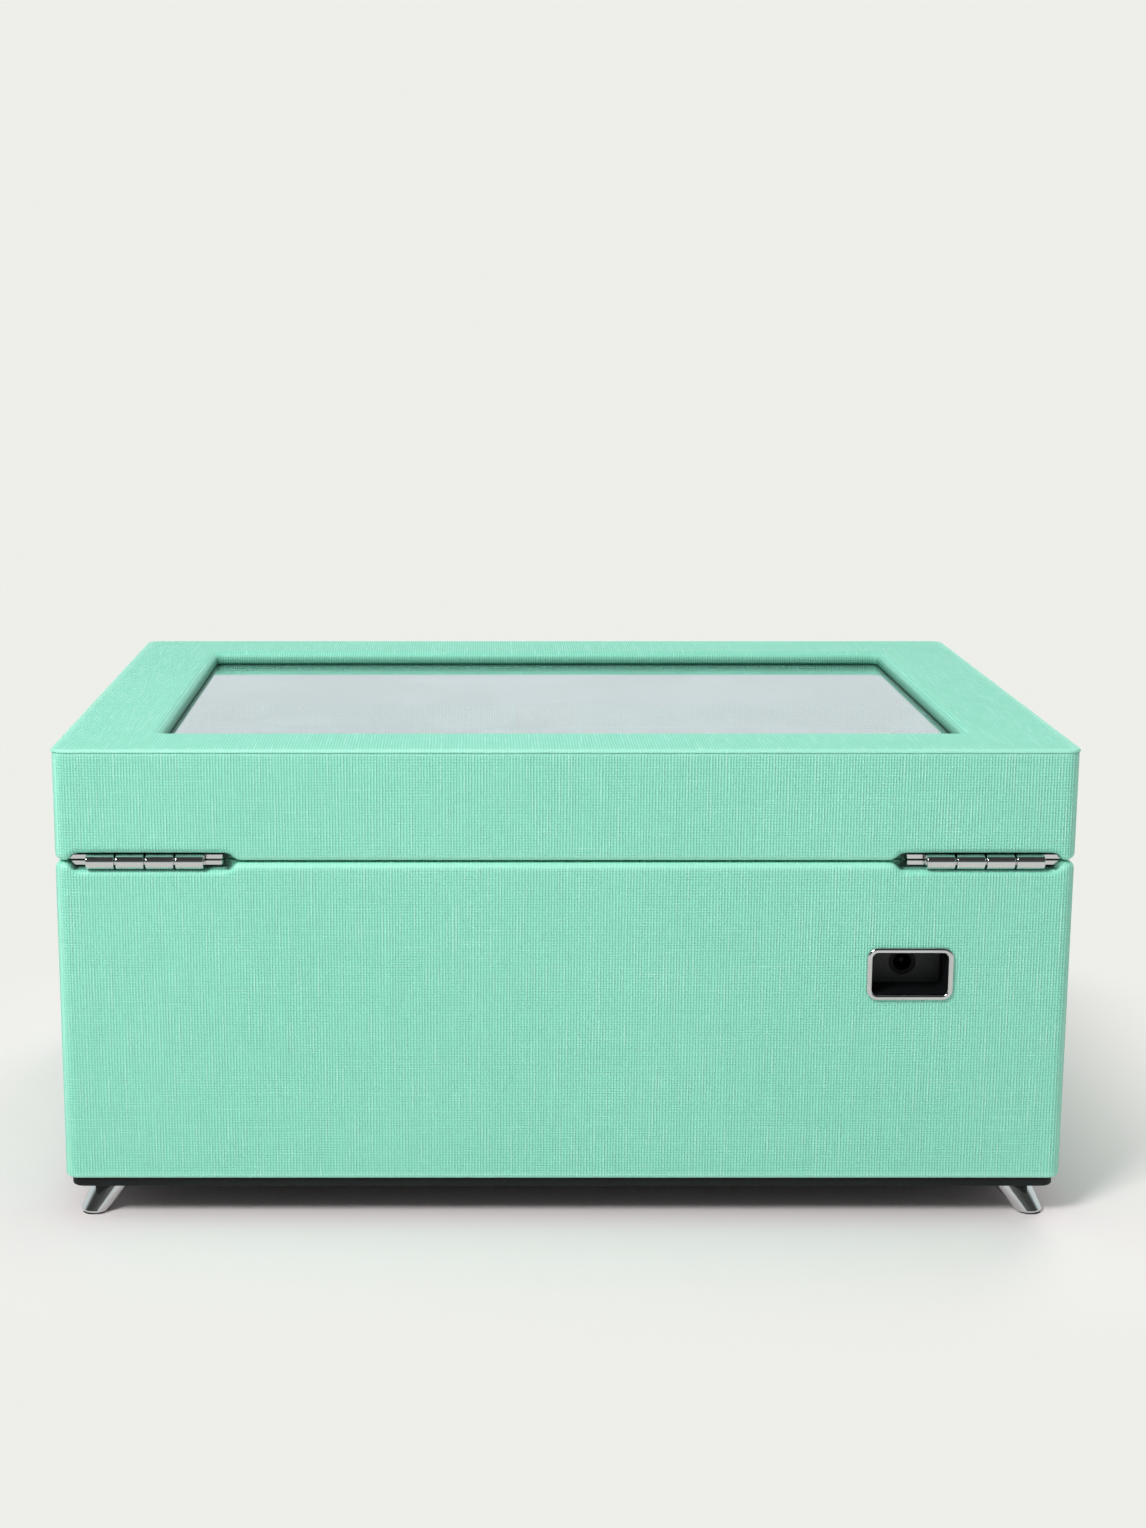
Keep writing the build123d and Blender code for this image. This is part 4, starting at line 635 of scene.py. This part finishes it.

# %% [markdown]
# ## Leatherette
# The threads of the emboss are paler than its grooves, partly their own tone and partly painted highlight and
# shade, and the thick slubs are paler still, a painted highlight; slow noise keeps a whole wall from being one
# tone. The masks lay over that the paler folds, partly a painted highlight, the seams, partly painted shade,
# the painted shade of the recess and the painted shadow of the pockets. The same heights feed the bump, lower on
# the lid's top, which is rubbed flatter.

# %% Leatherette finish
# Threads and grooves: their own tone plus painted highlight and shade. The slub colour is a painted highlight.
MINT_THREAD_LIT = (0.3, 0.775, 0.597, 1.0)
MINT_GROOVE_SHADED = (0.188, 0.63, 0.462, 1.0)
MINT_SLUB_HIGHLIGHT = (0.44, 0.88, 0.73, 1.0)
# Paler on the folds, partly from the stretch and partly as a painted highlight.
MINT_STRETCH_AND_HIGHLIGHT = (0.42, 0.83, 0.67, 1.0)
# The seam line's dark is partly the joint and partly painted shade of the fold.
MINT_SEAM_AND_SHADE = (0.12, 0.42, 0.3, 1.0)
# Painted shade in the window's recess, deepest at the glass.
MINT_RECESS_SHADE = (0.07, 0.33, 0.22, 1.0)
# Painted shadow deep in the hinge pockets.
POCKET_SHADOW = (0.012, 0.05, 0.035, 1.0)
THREAD_PITCH, THREAD_UNEVENNESS = 0.000865, 0.6
EMBOSS_DEPTH, TOP_EMBOSS = 0.00028, 0.55
EDGE_REACH, EDGE_SHARE, EDGE_FLATTENING = 0.0028, 0.55, 0.75
CLOUD_SCALE, CLOUD_RANGE, CLOUD_SHARE = 18.0, (0.2, 0.8), 0.12
FULL_COLOUR, SLUB_HIGHLIGHT_SHARE = 0.7, 0.65
SHEET_ROUGHNESS, THREAD_POLISH = 0.52, 0.12
COVERED = ["body_cover", "lid_side_cover", "lid_top_cover"]


def sheet_colour(graph, source, linen, edge):
    """Lit threads over shaded grooves, then slub highlights, paler folds, darkened seams, the recess's painted
    shade and the pockets' painted shadow.
    """
    place = graph.separate(source["Object"])
    cloudy = graph.ramp(graph.noise(source["Object"], CLOUD_SCALE, 3.0), *CLOUD_RANGE)
    lit_thread_share = graph.math("MULTIPLY_ADD", cloudy, CLOUD_SHARE, linen["Weave"])
    colour = graph.blend(graph.ramp(lit_thread_share, 0.0, FULL_COLOUR), MINT_GROOVE_SHADED, MINT_THREAD_LIT)
    colour = graph.blend(graph.times(linen["Slub"], SLUB_HIGHLIGHT_SHARE), colour, MINT_SLUB_HIGHLIGHT)
    colour = graph.blend(graph.times(edge, EDGE_SHARE), colour, MINT_STRETCH_AND_HIGHLIGHT)
    colour = graph.blend(seam_mask(graph, place), colour, MINT_SEAM_AND_SHADE)
    colour = graph.blend(recess_mask(graph, place), colour, MINT_RECESS_SHADE)
    return graph.blend(pocket_mask(graph, place), colour, POCKET_SHADOW)


def make_leatherette():
    """Mint leatherette: colour, polish and bump all follow the linen emboss."""
    material, graph, shader = new_material("mint_leatherette", Specular_IOR_Level=0.6)
    source = graph.node("ShaderNodeTexCoord").outputs
    panel = graph.group(PANEL_GROUP, {"Position": source["Object"], "Normal": source["Normal"]})
    weave = {"Panel": panel["Panel"], "Thread Pitch": THREAD_PITCH, "Unevenness": THREAD_UNEVENNESS}
    linen = graph.group(LINEN_GROUP, weave)
    folds = {"Position": source["Object"], "Reach": EDGE_REACH,
             "Half Width": body_high.x, "Half Depth": body_high.y,
             "Bottom": body_low.z, "Rim": body_high.z, "Lid Edge": lid_low.z, "Top": top_high.z}
    edge = graph.group(EDGE_GROUP, folds)["Edge"]
    graph.feed(shader["Base Color"], sheet_colour(graph, source, linen, edge))
    rough = graph.math("MULTIPLY_ADD", linen["Height"], -THREAD_POLISH, SHEET_ROUGHNESS)
    graph.feed(shader["Roughness"], rough)
    on_edge = graph.math("MULTIPLY_ADD", edge, -EDGE_FLATTENING, 1.0)
    on_top = graph.math("MULTIPLY_ADD", panel["Top"], TOP_EMBOSS - 1, 1.0)
    height = graph.times(linen["Height"], on_edge, on_top, graph.flip(panel["Fold"]))
    graph.relief(shader, height, EMBOSS_DEPTH, 1.0)
    return material


LEATHERETTE = make_leatherette()
for piece in COVERED:
    nodes[piece].data.materials.clear()
    nodes[piece].data.materials.append(LEATHERETTE)
print("leatherette: thread pitch", THREAD_PITCH * 1000, "mm on", len(COVERED), "covers")

# %% [markdown]
# ## Smudges, grain and nap
# Plated parts are smooth, with faint smudges where fingers reach them. Mouldings and the black plate have a
# fine grain. The suede lining has a nap that was brushed one way and the other. Each of these effects is one
# group, and every material that needs it sets its own scale.


# %% Smudge, grain and nap groups
def make_smudge_group():
    """Smudge is broad patches broken up by fine noise."""
    inputs = {"Position": (0, 0, 0), "Scale": 60.0}
    graph, given, result = new_group("handling_smudges", inputs, ["Smudge"])
    broad = graph.ramp(graph.noise(given["Position"], given["Scale"], 4.0), 0.42, 0.75)
    fine = graph.noise(given["Position"], graph.times(given["Scale"], 14.0), 2.0)
    graph.feed(result["Smudge"], graph.times(broad, fine))
    return graph.tree


def make_grain_group():
    """Height is small round cells, and Tone is slow noise many cells wide."""
    inputs = {"Position": (0, 0, 0), "Scale": 1500.0}
    graph, given, result = new_group("moulded_grain", inputs, ["Height", "Tone"])
    cells = {"Vector": given["Position"], "Scale": given["Scale"]}
    cells = graph.node("ShaderNodeTexVoronoi", cells, feature="SMOOTH_F1").outputs["Distance"]
    slow_scale = graph.times(given["Scale"], 0.03)
    graph.feed(result["Height"], cells)
    graph.feed(result["Tone"], graph.noise(given["Position"], slow_scale, 3.0))
    return graph.tree


def make_nap_group():
    """Height is the fuzz of the fibres. Tone is the fuzz mixed with broad strokes of the brush."""
    graph, given, result = new_group("suede_nap", {"Position": (0, 0, 0), "Scale": 1.0}, ["Height", "Tone"])
    fuzz = graph.noise(given["Position"], graph.times(given["Scale"], 2600.0), 3.0)
    brushed = graph.noise(given["Position"], graph.times(given["Scale"], 70.0), 5.0)
    strokes = graph.ramp(brushed, 0.25, 0.75)
    graph.feed(result["Height"], fuzz)
    graph.feed(result["Tone"], graph.math("MULTIPLY_ADD", strokes, 0.5, graph.times(fuzz, 0.5)))
    return graph.tree


SMUDGE_GROUP = make_smudge_group()
GRAIN_GROUP = make_grain_group()
NAP_GROUP = make_nap_group()
print("groups:", SMUDGE_GROUP.name, GRAIN_GROUP.name, NAP_GROUP.name)

# %% [markdown]
# ## Kinds of finish
# Four kinds cover all the plain parts: metal, moulding, suede and glass. Each is one function, so that two
# metals differ only in colour, polish and scale. The glass has a clear coat, which makes it mirror more at a
# low angle: in the photograph the pane shows the pale wall and nothing of the inside.

# %% Metal, moulding, suede and glass
SMUDGE_SHADE = 0.86
GRAIN_ROUGHNESS, GRAIN_STRENGTH = 0.15, 0.6
NAP_DEPTH, NAP_STRENGTH = 0.00015, 0.5
GLASS_TINT = (0.92, 0.97, 0.98, 1)
GLASS_SMUDGE_SCALE, GLASS_SMUDGE = 25.0, 0.03


def object_place(graph):
    """The point on the surface, in the frame of the CAD model."""
    return graph.node("ShaderNodeTexCoord").outputs["Object"]


def metal(name, colour, polished, smudged, scale):
    """Plated or plain metal whose roughness goes from polished to smudged."""
    material, graph, shader = new_material(name, Metallic=1.0)
    smudge = graph.group(SMUDGE_GROUP, {"Position": object_place(graph), "Scale": scale})["Smudge"]
    dulled = tuple(SMUDGE_SHADE * part for part in colour[:3]) + (1.0,)
    graph.feed(shader["Base Color"], graph.blend(smudge, colour, dulled))
    graph.feed(shader["Roughness"], graph.math("MULTIPLY_ADD", smudge, smudged - polished, polished))
    return material


def moulding(name, dark, light, rough, scale, depth, gloss=0.5):
    """Moulded plastic, rubber or painted board with a fine grain."""
    material, graph, shader = new_material(name, Specular_IOR_Level=gloss)
    grain = graph.group(GRAIN_GROUP, {"Position": object_place(graph), "Scale": scale})
    graph.feed(shader["Base Color"], graph.blend(grain["Tone"], dark, light))
    graph.feed(shader["Roughness"], graph.math("MULTIPLY_ADD", grain["Tone"], GRAIN_ROUGHNESS, rough))
    graph.relief(shader, grain["Height"], depth, GRAIN_STRENGTH)
    return material


def suede(name, dark, light):
    """Brushed suede cloth: matt, with a soft sheen and tones that follow the nap."""
    material, graph, shader = new_material(name, Roughness=0.95, Sheen_Weight=0.35, Sheen_Roughness=0.5)
    nap = graph.group(NAP_GROUP, {"Position": object_place(graph), "Scale": 1.0})
    graph.feed(shader["Base Color"], graph.blend(nap["Tone"], dark, light))
    graph.relief(shader, nap["Height"], NAP_DEPTH, NAP_STRENGTH)
    return material


def clear_glass(name):
    """Float glass: clear, with polish that smudges dull a little."""
    clear = {"Transmission_Weight": 1.0, "IOR": 1.5, "Base_Color": GLASS_TINT}
    coat = {"Coat_Weight": 1.0, "Coat_IOR": 1.6, "Coat_Roughness": 0.01}
    material, graph, shader = new_material(name, **clear, **coat)
    smudges = {"Position": object_place(graph), "Scale": GLASS_SMUDGE_SCALE}
    smudge = graph.group(SMUDGE_GROUP, smudges)["Smudge"]
    graph.feed(shader["Roughness"], graph.times(smudge, GLASS_SMUDGE))
    return material


# %% [markdown]
# ## Finishes for the plain parts
# The record names a material slot for each node, and one finish goes with each slot. Grain depths are in
# metres, and a scale is how many grains or smudges would fit in a metre.

# %% Finishes by slot
FINISHES = {
    "chrome": metal("bright_chrome", (0.62, 0.625, 0.63, 1), polished=0.04, smudged=0.16, scale=70.0),
    "steel": metal("plated_steel", (0.6, 0.61, 0.62, 1), polished=0.22, smudged=0.4, scale=90.0),
    "bush_bronze": metal("sintered_bronze", (0.6, 0.42, 0.22, 1), polished=0.35, smudged=0.5, scale=120.0),
    "base_black": moulding("black_plate", (0.006, 0.008, 0.008, 1), (0.013, 0.017, 0.017, 1),
                           rough=0.55, scale=1800.0, depth=0.0001, gloss=0.2),
    "pad_rubber": moulding("foot_rubber", (0.012, 0.012, 0.012, 1), (0.03, 0.03, 0.03, 1),
                           rough=0.75, scale=1400.0, depth=0.0001),
    "sleeve_black": moulding("black_moulding", (0.004, 0.005, 0.005, 1), (0.008, 0.009, 0.01, 1),
                             rough=0.45, scale=1600.0, depth=0.00005, gloss=0.2),
    "winder_plastic": moulding("charcoal_moulding", (0.02, 0.022, 0.025, 1), (0.034, 0.037, 0.04, 1),
                               rough=0.42, scale=1900.0, depth=0.00006),
    "board": moulding("fibreboard", (0.3, 0.2, 0.11, 1), (0.45, 0.33, 0.2, 1),
                      rough=0.75, scale=900.0, depth=0.0002),
    "lining": suede("lining_suede", (0.44, 0.58, 0.61, 1), (0.53, 0.68, 0.71, 1)),
    "cushion": suede("cushion_suede", (0.48, 0.61, 0.63, 1), (0.58, 0.71, 0.73, 1)),
    "glass": clear_glass("float_glass"),
}
for entry in frame["record"]["subparts"]:
    if entry["material_slot"] in FINISHES:
        mesh = nodes[entry["node"]].data
        mesh.materials.clear()
        mesh.materials.append(FINISHES[entry["material_slot"]])
print("finishes:", ", ".join(FINISHES))

# %% [markdown]
# ## Cushions and ring rolls
# A watch cushion is a suede sleeve sewn to two end panels and stuffed. Its shape is a rounded outline carried
# across its width: full in the middle, and drawn in at the seams. It could be sculpted, but a formula can be
# made to any size, and the ring rolls and the winder's cushion are the same form with other numbers.

# %% Cushion shape
SLEEVE_SHRINK = 0.0012
SLEEVE_POWER = 2.4
PANEL_MIDDLE = 0.06
PANEL_BULGE = 0.03


def cushion_grid(span, corner, end_share, sleeve_rows, panel_rows, columns):
    """A stuffed form in its own axes: across, along and up from where it rests.

    Each row is a rounded outline. Over the sleeve the outline shrinks from its full size in the middle to
    end_share at the seams, as a power of the distance across. Over an end panel it shrinks to the middle of
    the panel, which swells outwards as a half wave.
    """
    width, length, height = span - 2 * SLEEVE_SHRINK
    outline = rounded_outline(length, height, corner, columns)
    across = np.linspace(-1, 1, sleeve_rows)
    sleeve = 1 - (1 - end_share) * np.abs(across) ** SLEEVE_POWER
    panel = np.linspace(1, PANEL_MIDDLE, panel_rows + 1)[1:]
    bulge = PANEL_BULGE * width * np.cos(panel * np.pi / 2)
    share = np.concatenate([panel[::-1] * end_share, sleeve, panel * end_share])
    place = np.concatenate([-width / 2 - bulge[::-1], across * width / 2, width / 2 + bulge])
    rise = height / 2 * end_share
    middle = np.concatenate([np.full(panel_rows, rise), height / 2 * sleeve, np.full(panel_rows, rise)])
    grid = np.empty((share.size, columns, 3))
    grid[..., 0] = place[:, None]
    grid[..., 1] = share[:, None] * outline[:, 0]
    grid[..., 2] = middle[:, None] + share[:, None] * outline[:, 1] + SLEEVE_SHRINK
    return grid


# %% [markdown]
# ## Stuffing
# A formula can't show how stuffing fills a sewn sleeve, so the seams are pinned and a cloth solver blows the
# sleeve up between them. The solver likes cushions the size of furniture, so the points are magnified for it
# and brought back afterwards. A limit on how far a point may move keeps each cushion in its place.

# %% Stuffing by the cloth solver
SWELL_LIMIT = 0.0019
SOLVER_SCALE = 8.0
SOLVER_FRAMES, SOLVER_QUALITY = 18, 6
STUFFING_PRESSURE = 5.0
CLOTH_STRETCH = 0.03


def stuff(grid, seam_rows):
    """Blow a grid up with the cloth solver, its seams pinned, and limit how far each point moves."""
    model = closed_surface("stuffing_form", [grid * SOLVER_SCALE])
    columns = grid.shape[1]
    seam = model.vertex_groups.new(name="seam")
    seam_points = np.concatenate([np.arange(columns) + row * columns for row in seam_rows])
    seam.add(seam_points.tolist(), 1.0, "REPLACE")
    cloth = model.modifiers.new("stuffing", "CLOTH")
    cloth.settings.quality = SOLVER_QUALITY
    cloth.settings.vertex_group_mass = "seam"
    cloth.settings.use_pressure = True
    cloth.settings.uniform_pressure_force = STUFFING_PRESSURE
    cloth.settings.shrink_min = -CLOTH_STRETCH
    cloth.settings.effector_weights.gravity = 0
    cloth.point_cache.frame_end = SOLVER_FRAMES
    for step in range(1, SOLVER_FRAMES + 1):
        scene.frame_set(step)
    points = mesh_points(model.evaluated_get(bpy.context.evaluated_depsgraph_get()).data)
    scene.frame_set(1)
    bpy.data.objects.remove(model)
    points = points[: grid.shape[0] * columns].reshape(grid.shape) / SOLVER_SCALE
    move = points - grid
    far = np.linalg.norm(move, axis=-1, keepdims=True)
    swollen = grid + move * np.minimum(1, SWELL_LIMIT / np.maximum(far, 1e-9))
    swollen[..., 2] = np.maximum(swollen[..., 2], 0)
    return swollen


# %% [markdown]
# ## Placing the cushions
# Each cushion fills the room of its CAD solid, so the solid is measured in the cushion's own axes: upright
# for the watch cushions and the rolls, and along the drum's axis for the winder's. A welt, a thin rolled
# strip of the same cloth, covers each seam. One level of subdivision rounds the faces off.

# %% Cushions in their places
WELT_RADIUS, WELT_SIDES = 0.0006, 8
ROLL_COUNT = 5
WATCH_SHAPE = {"corner": 0.013, "end_share": 0.84, "gap": 0.0,
               "sleeve_rows": 35, "panel_rows": 9, "columns": 96}
DRUM_SHAPE = {"corner": 0.014, "end_share": 0.84, "gap": 0.0,
              "sleeve_rows": 31, "panel_rows": 9, "columns": 84}
ROLL_SHAPE = {"corner": 0.0056, "end_share": 0.93, "gap": 0.001,
              "sleeve_rows": 45, "panel_rows": 5, "columns": 44}


def own_axes(up):
    """Across, along and up for a cushion that rests square to up, with across kept on X."""
    across = np.array([1.0, 0, 0])
    return np.stack([across, np.cross(up, across), up])


def place_cushions(name, replaced, body, up, shape, count=1):
    """Build the cushions that stand for one CAD node, side by side along it, with welts on their seams."""
    axes = own_axes(np.array(up))
    points = mesh_points(nodes[replaced].data) @ axes.T
    low, high = points.min(0), points.max(0)
    pitch = (high[1] - low[1] + shape["gap"]) / count
    span = np.array([high[0] - low[0], pitch - shape["gap"], high[2] - low[2]])
    counts = shape["sleeve_rows"], shape["panel_rows"], shape["columns"]
    grid = cushion_grid(span, shape["corner"], shape["end_share"], *counts)
    seams = [shape["panel_rows"], shape["panel_rows"] + shape["sleeve_rows"] - 1]
    grid = stuff(grid, seams)
    middles = low[1] + pitch * (np.arange(count) + 0.5) - shape["gap"] / 2
    starts = [np.array([(low[0] + high[0]) / 2, middle, low[2]]) for middle in middles]
    pad = closed_surface(name, [(grid + start) @ axes for start in starts])
    finer = pad.modifiers.new("finer", "SUBSURF")
    finer.levels = finer.render_levels = 1
    dress(pad, FINISHES["cushion"], body)
    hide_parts(replaced)
    loops = [(grid[seam] + start) @ axes for start in starts for seam in seams]
    welts = [tube(loop, WELT_RADIUS, WELT_SIDES) for loop in loops]
    dress(closed_surface(f"{name}_welts", welts, wrap_rows=True), FINISHES["cushion"], body)
    print(name, "span in mm:", np.round(span * 1000, 1), "with", len(pad.data.polygons), "faces")


for place in ("left", "middle", "right"):
    place_cushions(f"watch_pillow_{place}", f"watch_cushion_{place}", "box", (0, 0, 1), WATCH_SHAPE)
place_cushions("drum_pillow", "drum_cushion", "drum", joints["drum_spin"]["axis"], DRUM_SHAPE)
place_cushions("ring_cushions", "ring_rolls", "box", (0, 0, 1), ROLL_SHAPE, ROLL_COUNT)

# %% [markdown]
# ## Screws
# The CAD screws are plain countersunk solids. Real ones have a cross recess and a thread, so each is one grid
# turned about its axis: rows run from the middle of the head, out over it, down the cone and along the shank.
# Points near either arm of the cross sink to make the recess, and a thread is a wave that climbs with the
# angle. Cutting the recess with a boolean would leave poor faces, while moved points keep the grid whole.

# %% Screw shape
SCREW_SIDES = 40
HEAD_ROWS, CONE_ROWS, SHANK_ROWS = 18, 5, 40
HEAD_MIDDLE = 0.05
SHANK_SHARE, POINT_LENGTH, POINT_TAPER = 0.92, 0.18, 0.85
THREAD_RISE, THREAD_SWELL = 0.0009, 0.09
RECESS_ARM, RECESS_ARM_SOFT = 0.2, 0.06
RECESS_REACH, RECESS_REACH_SOFT = 0.66, 0.08
RECESS_DEPTH = 0.32


def screw_grid(radius, head_radius, length):
    """A screw about Z, its head at the top, at zero: a lathe profile, a sunk cross and a helical thread."""
    head = np.linspace(HEAD_MIDDLE, 1, HEAD_ROWS)
    cone = np.linspace(1, 0, CONE_ROWS)[1:]
    shank = np.linspace(0, 1, SHANK_ROWS)[1:]
    taper = 1 - POINT_TAPER * np.clip((shank - 1 + POINT_LENGTH) / POINT_LENGTH, 0, 1)
    cone_depth = head_radius - radius
    reach = [head * head_radius, radius + cone * cone_depth, radius * SHANK_SHARE * taper]
    drop = [0 * head, cone_depth * (1 - cone), cone_depth + shank * (length - cone_depth)]
    on_shank = [0 * head, 0 * cone, 0 * shank + 1]
    reach, drop, on_shank = (np.concatenate(rows)[:, None] for rows in (reach, drop, on_shank))
    angle = np.linspace(0, 2 * np.pi, SCREW_SIDES, endpoint=False)[None, :]
    reach = reach * (1 + THREAD_SWELL * on_shank * np.cos(2 * np.pi * drop / THREAD_RISE - angle))
    x, y = reach * np.cos(angle), reach * np.sin(angle)
    arm = np.minimum(np.abs(x), np.abs(y)) / head_radius
    sunk = np.clip((RECESS_ARM - arm) / RECESS_ARM_SOFT, 0, 1)
    sunk = sunk * np.clip((RECESS_REACH - reach / head_radius) / RECESS_REACH_SOFT, 0, 1) * (1 - on_shank)
    return np.stack([x, y, -drop - RECESS_DEPTH * head_radius * sunk], -1)


# %% [markdown]
# ## Placing the screws
# Hinge screws go three to a leaf, and the base plate has two rows of three. No two real screws stop at the
# same angle, so each is turned on by a fixed step.

# %% Screws in their places
HINGE_SCREW_SPACING, HINGE_SCREW_INSET = 0.016, 0.0032
HINGE_SCREW_RADIUS, HINGE_HEAD = 0.001, 0.0019
BASE_SCREW_RADIUS, BASE_HEAD = 0.0015, 0.003
TURN_STEP = 2.4


def place_screws(name, replaced, body, radius, head_radius, places, up):
    """Screws for one CAD node: each is turned by its own angle, and stood on its head where up is -1."""
    low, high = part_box(replaced)
    x, y, z = np.moveaxis(screw_grid(radius, head_radius, high.z - low.z), -1, 0)
    screws = []
    for index, middle in enumerate(places):
        turn = TURN_STEP * index
        spun = [x * np.cos(turn) - up * y * np.sin(turn), x * np.sin(turn) + up * y * np.cos(turn), up * z]
        screws.append(np.stack(spun, -1) + np.array([*middle, high.z if up > 0 else low.z]))
    made = closed_surface(name, [screw[::-1] for screw in screws])
    dress(made, FINISHES["steel"], body)
    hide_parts(replaced)
    print(name, "has", len(screws), "screws and", len(made.data.polygons), "faces")


def leaf_places(part):
    """Three screw places on each of the two leaves of the box or the lid."""
    places = []
    for side in ("left", "right"):
        low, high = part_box(f"hinge_{side}_{part}_leaf")
        middle = (low.x + high.x) / 2
        places += [(middle + step * HINGE_SCREW_SPACING, low.y + HINGE_SCREW_INSET) for step in (-1, 0, 1)]
    return places


base_low, base_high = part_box("base_screws")
base_columns = np.linspace(base_low.x + BASE_HEAD, base_high.x - BASE_HEAD, 3)
base_places = [(x, y) for y in (base_low.y + BASE_HEAD, base_high.y - BASE_HEAD) for x in base_columns]
for part, up in (("box", 1), ("lid", -1)):
    place_screws(f"hinge_screws_in_{part}", f"hinge_{part}_screws", part,
                 HINGE_SCREW_RADIUS, HINGE_HEAD, leaf_places(part), up)
place_screws("plate_screws", "base_screws", "box", BASE_SCREW_RADIUS, BASE_HEAD, base_places, -1)

# %% [markdown]
# ## Window bead
# Where the pane meets the folded sheet, a thin dark bead draws the line round the window: a painted shadow of
# the gap there. It is a round tube along the window's outline, sunk by half of its radius into the pane.

# %% Window bead
PANE_LAP = 0.0065
WINDOW_CORNER = 0.0025
BEAD_RADIUS, BEAD_POINTS, BEAD_SIDES = 0.00028, 320, 8

window_width = pane_high.x - pane_low.x - 2 * PANE_LAP
window_depth = pane_high.y - pane_low.y - 2 * PANE_LAP
window = rounded_outline(window_width, window_depth, WINDOW_CORNER, BEAD_POINTS)
bead_path = np.column_stack([window, np.full(len(window), pane_high.z + BEAD_RADIUS / 2)])
bead = closed_surface("window_shadow_bead", [tube(bead_path, BEAD_RADIUS, BEAD_SIDES)], wrap_rows=True)
# The bead's dark green is painted shadow.
shadow_line_finish = moulding("painted_shadow_line", (0.006, 0.06, 0.036, 1), (0.012, 0.09, 0.055, 1),
                   rough=0.5, scale=1600.0, depth=0.00005, gloss=0.2)
dress(bead, shadow_line_finish, "lid")
print("window bead round", np.round([window_width * 1000, window_depth * 1000], 1), "mm")

# %% [markdown]
# ## Dial marks
# A ring of ticks is printed on the winder's ledge, and a pointer on the dial. Each is a small rounded bar
# that stands a hair above the plastic, as ink does. The pointer rides with the dial, the ticks with the box.

# %% Ticks and pointer
PRINT_RISE = 0.00004
LEDGE_LEVEL = 0.054456
MARK_ANGLES = np.radians([225, 135, 45, -45])
TICK_REACH, TICK_WIDTH = (0.0123, 0.0142), 0.0006
POINTER_REACH, POINTER_WIDTH = (0.0035, 0.0082), 0.0009
BAR_POINTS, BAR_ROUND = 24, 0.49


def bar_grid(aim, reach, width, z):
    """A thin flat bar with round ends along an aim from the dial: an outline carried up and closed."""
    start, end = (dial_middle + aim * distance for distance in reach)
    along = (end - start) / np.linalg.norm(end - start)
    outline = rounded_outline(np.linalg.norm(end - start), width, width * BAR_ROUND, BAR_POINTS)
    across = np.array([-along[1], along[0]])
    flat = (start + end) / 2 + outline[:, :1] * along + outline[:, 1:] * across
    levels = np.array([z, z + PRINT_RISE])
    return np.stack([np.column_stack([flat, np.full(len(flat), level)]) for level in levels])


print_white = moulding("dial_print", (0.62, 0.62, 0.6, 1), (0.74, 0.74, 0.72, 1),
                       rough=0.6, scale=2000.0, depth=0.00002)
dial_low, dial_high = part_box("mode_dial")
dial_middle = np.array([(dial_low.x + dial_high.x) / 2, (dial_low.y + dial_high.y) / 2])
aims = np.column_stack([np.cos(MARK_ANGLES), np.sin(MARK_ANGLES)])
ticks = [bar_grid(aim, TICK_REACH, TICK_WIDTH, LEDGE_LEVEL) for aim in aims]
dress(closed_surface("dial_ticks", ticks), print_white, "box")
pointer_bar = bar_grid(aims[0], POINTER_REACH, POINTER_WIDTH, dial_high.z)
dress(closed_surface("dial_pointer", [pointer_bar]), print_white, "dial")
print("dial marks:", len(ticks), "ticks and a pointer")

# %% [markdown]
# ## Dial numbers
# Beside each tick is a plain number for a winding programme. A text object gives the shapes of its type, but
# it stays a curve, so each number is turned into a mesh, moved to its place and joined with the others.

# %% Dial numbers
NUMBER_REACH, NUMBER_SIZE = 0.0168, 0.004


def number_type(text, place):
    """A short text as a flat mesh: made about zero, and then moved to be centred on a place."""
    curve = bpy.data.curves.new("number_type", "FONT")
    curve.body, curve.size = text, NUMBER_SIZE
    curve.align_x, curve.align_y = "CENTER", "CENTER"
    curve.extrude = PRINT_RISE / 2
    holder = bpy.data.objects.new("number_type", curve)
    scene.collection.objects.link(holder)
    typed = bpy.data.meshes.new_from_object(holder.evaluated_get(bpy.context.evaluated_depsgraph_get()))
    typed.vertices.foreach_set("co", (mesh_points(typed) + place).astype(np.float32).ravel())
    bpy.data.objects.remove(holder)
    return typed


joined = bmesh.new()
for number, aim in enumerate(aims):
    typed = number_type(str(number), [*(dial_middle + aim * NUMBER_REACH), LEDGE_LEVEL + PRINT_RISE / 2])
    joined.from_mesh(typed)
    bpy.data.meshes.remove(typed)
number_mesh = bpy.data.meshes.new("dial_numbers")
joined.to_mesh(number_mesh)
joined.free()
number_mesh.polygons.foreach_set("use_smooth", np.zeros(len(number_mesh.polygons), bool))
numbers = bpy.data.objects.new("dial_numbers", number_mesh)
scene.collection.objects.link(numbers)
dress(numbers, print_white, "box")
print("numbers:", len(aims), "with", len(number_mesh.polygons), "faces")
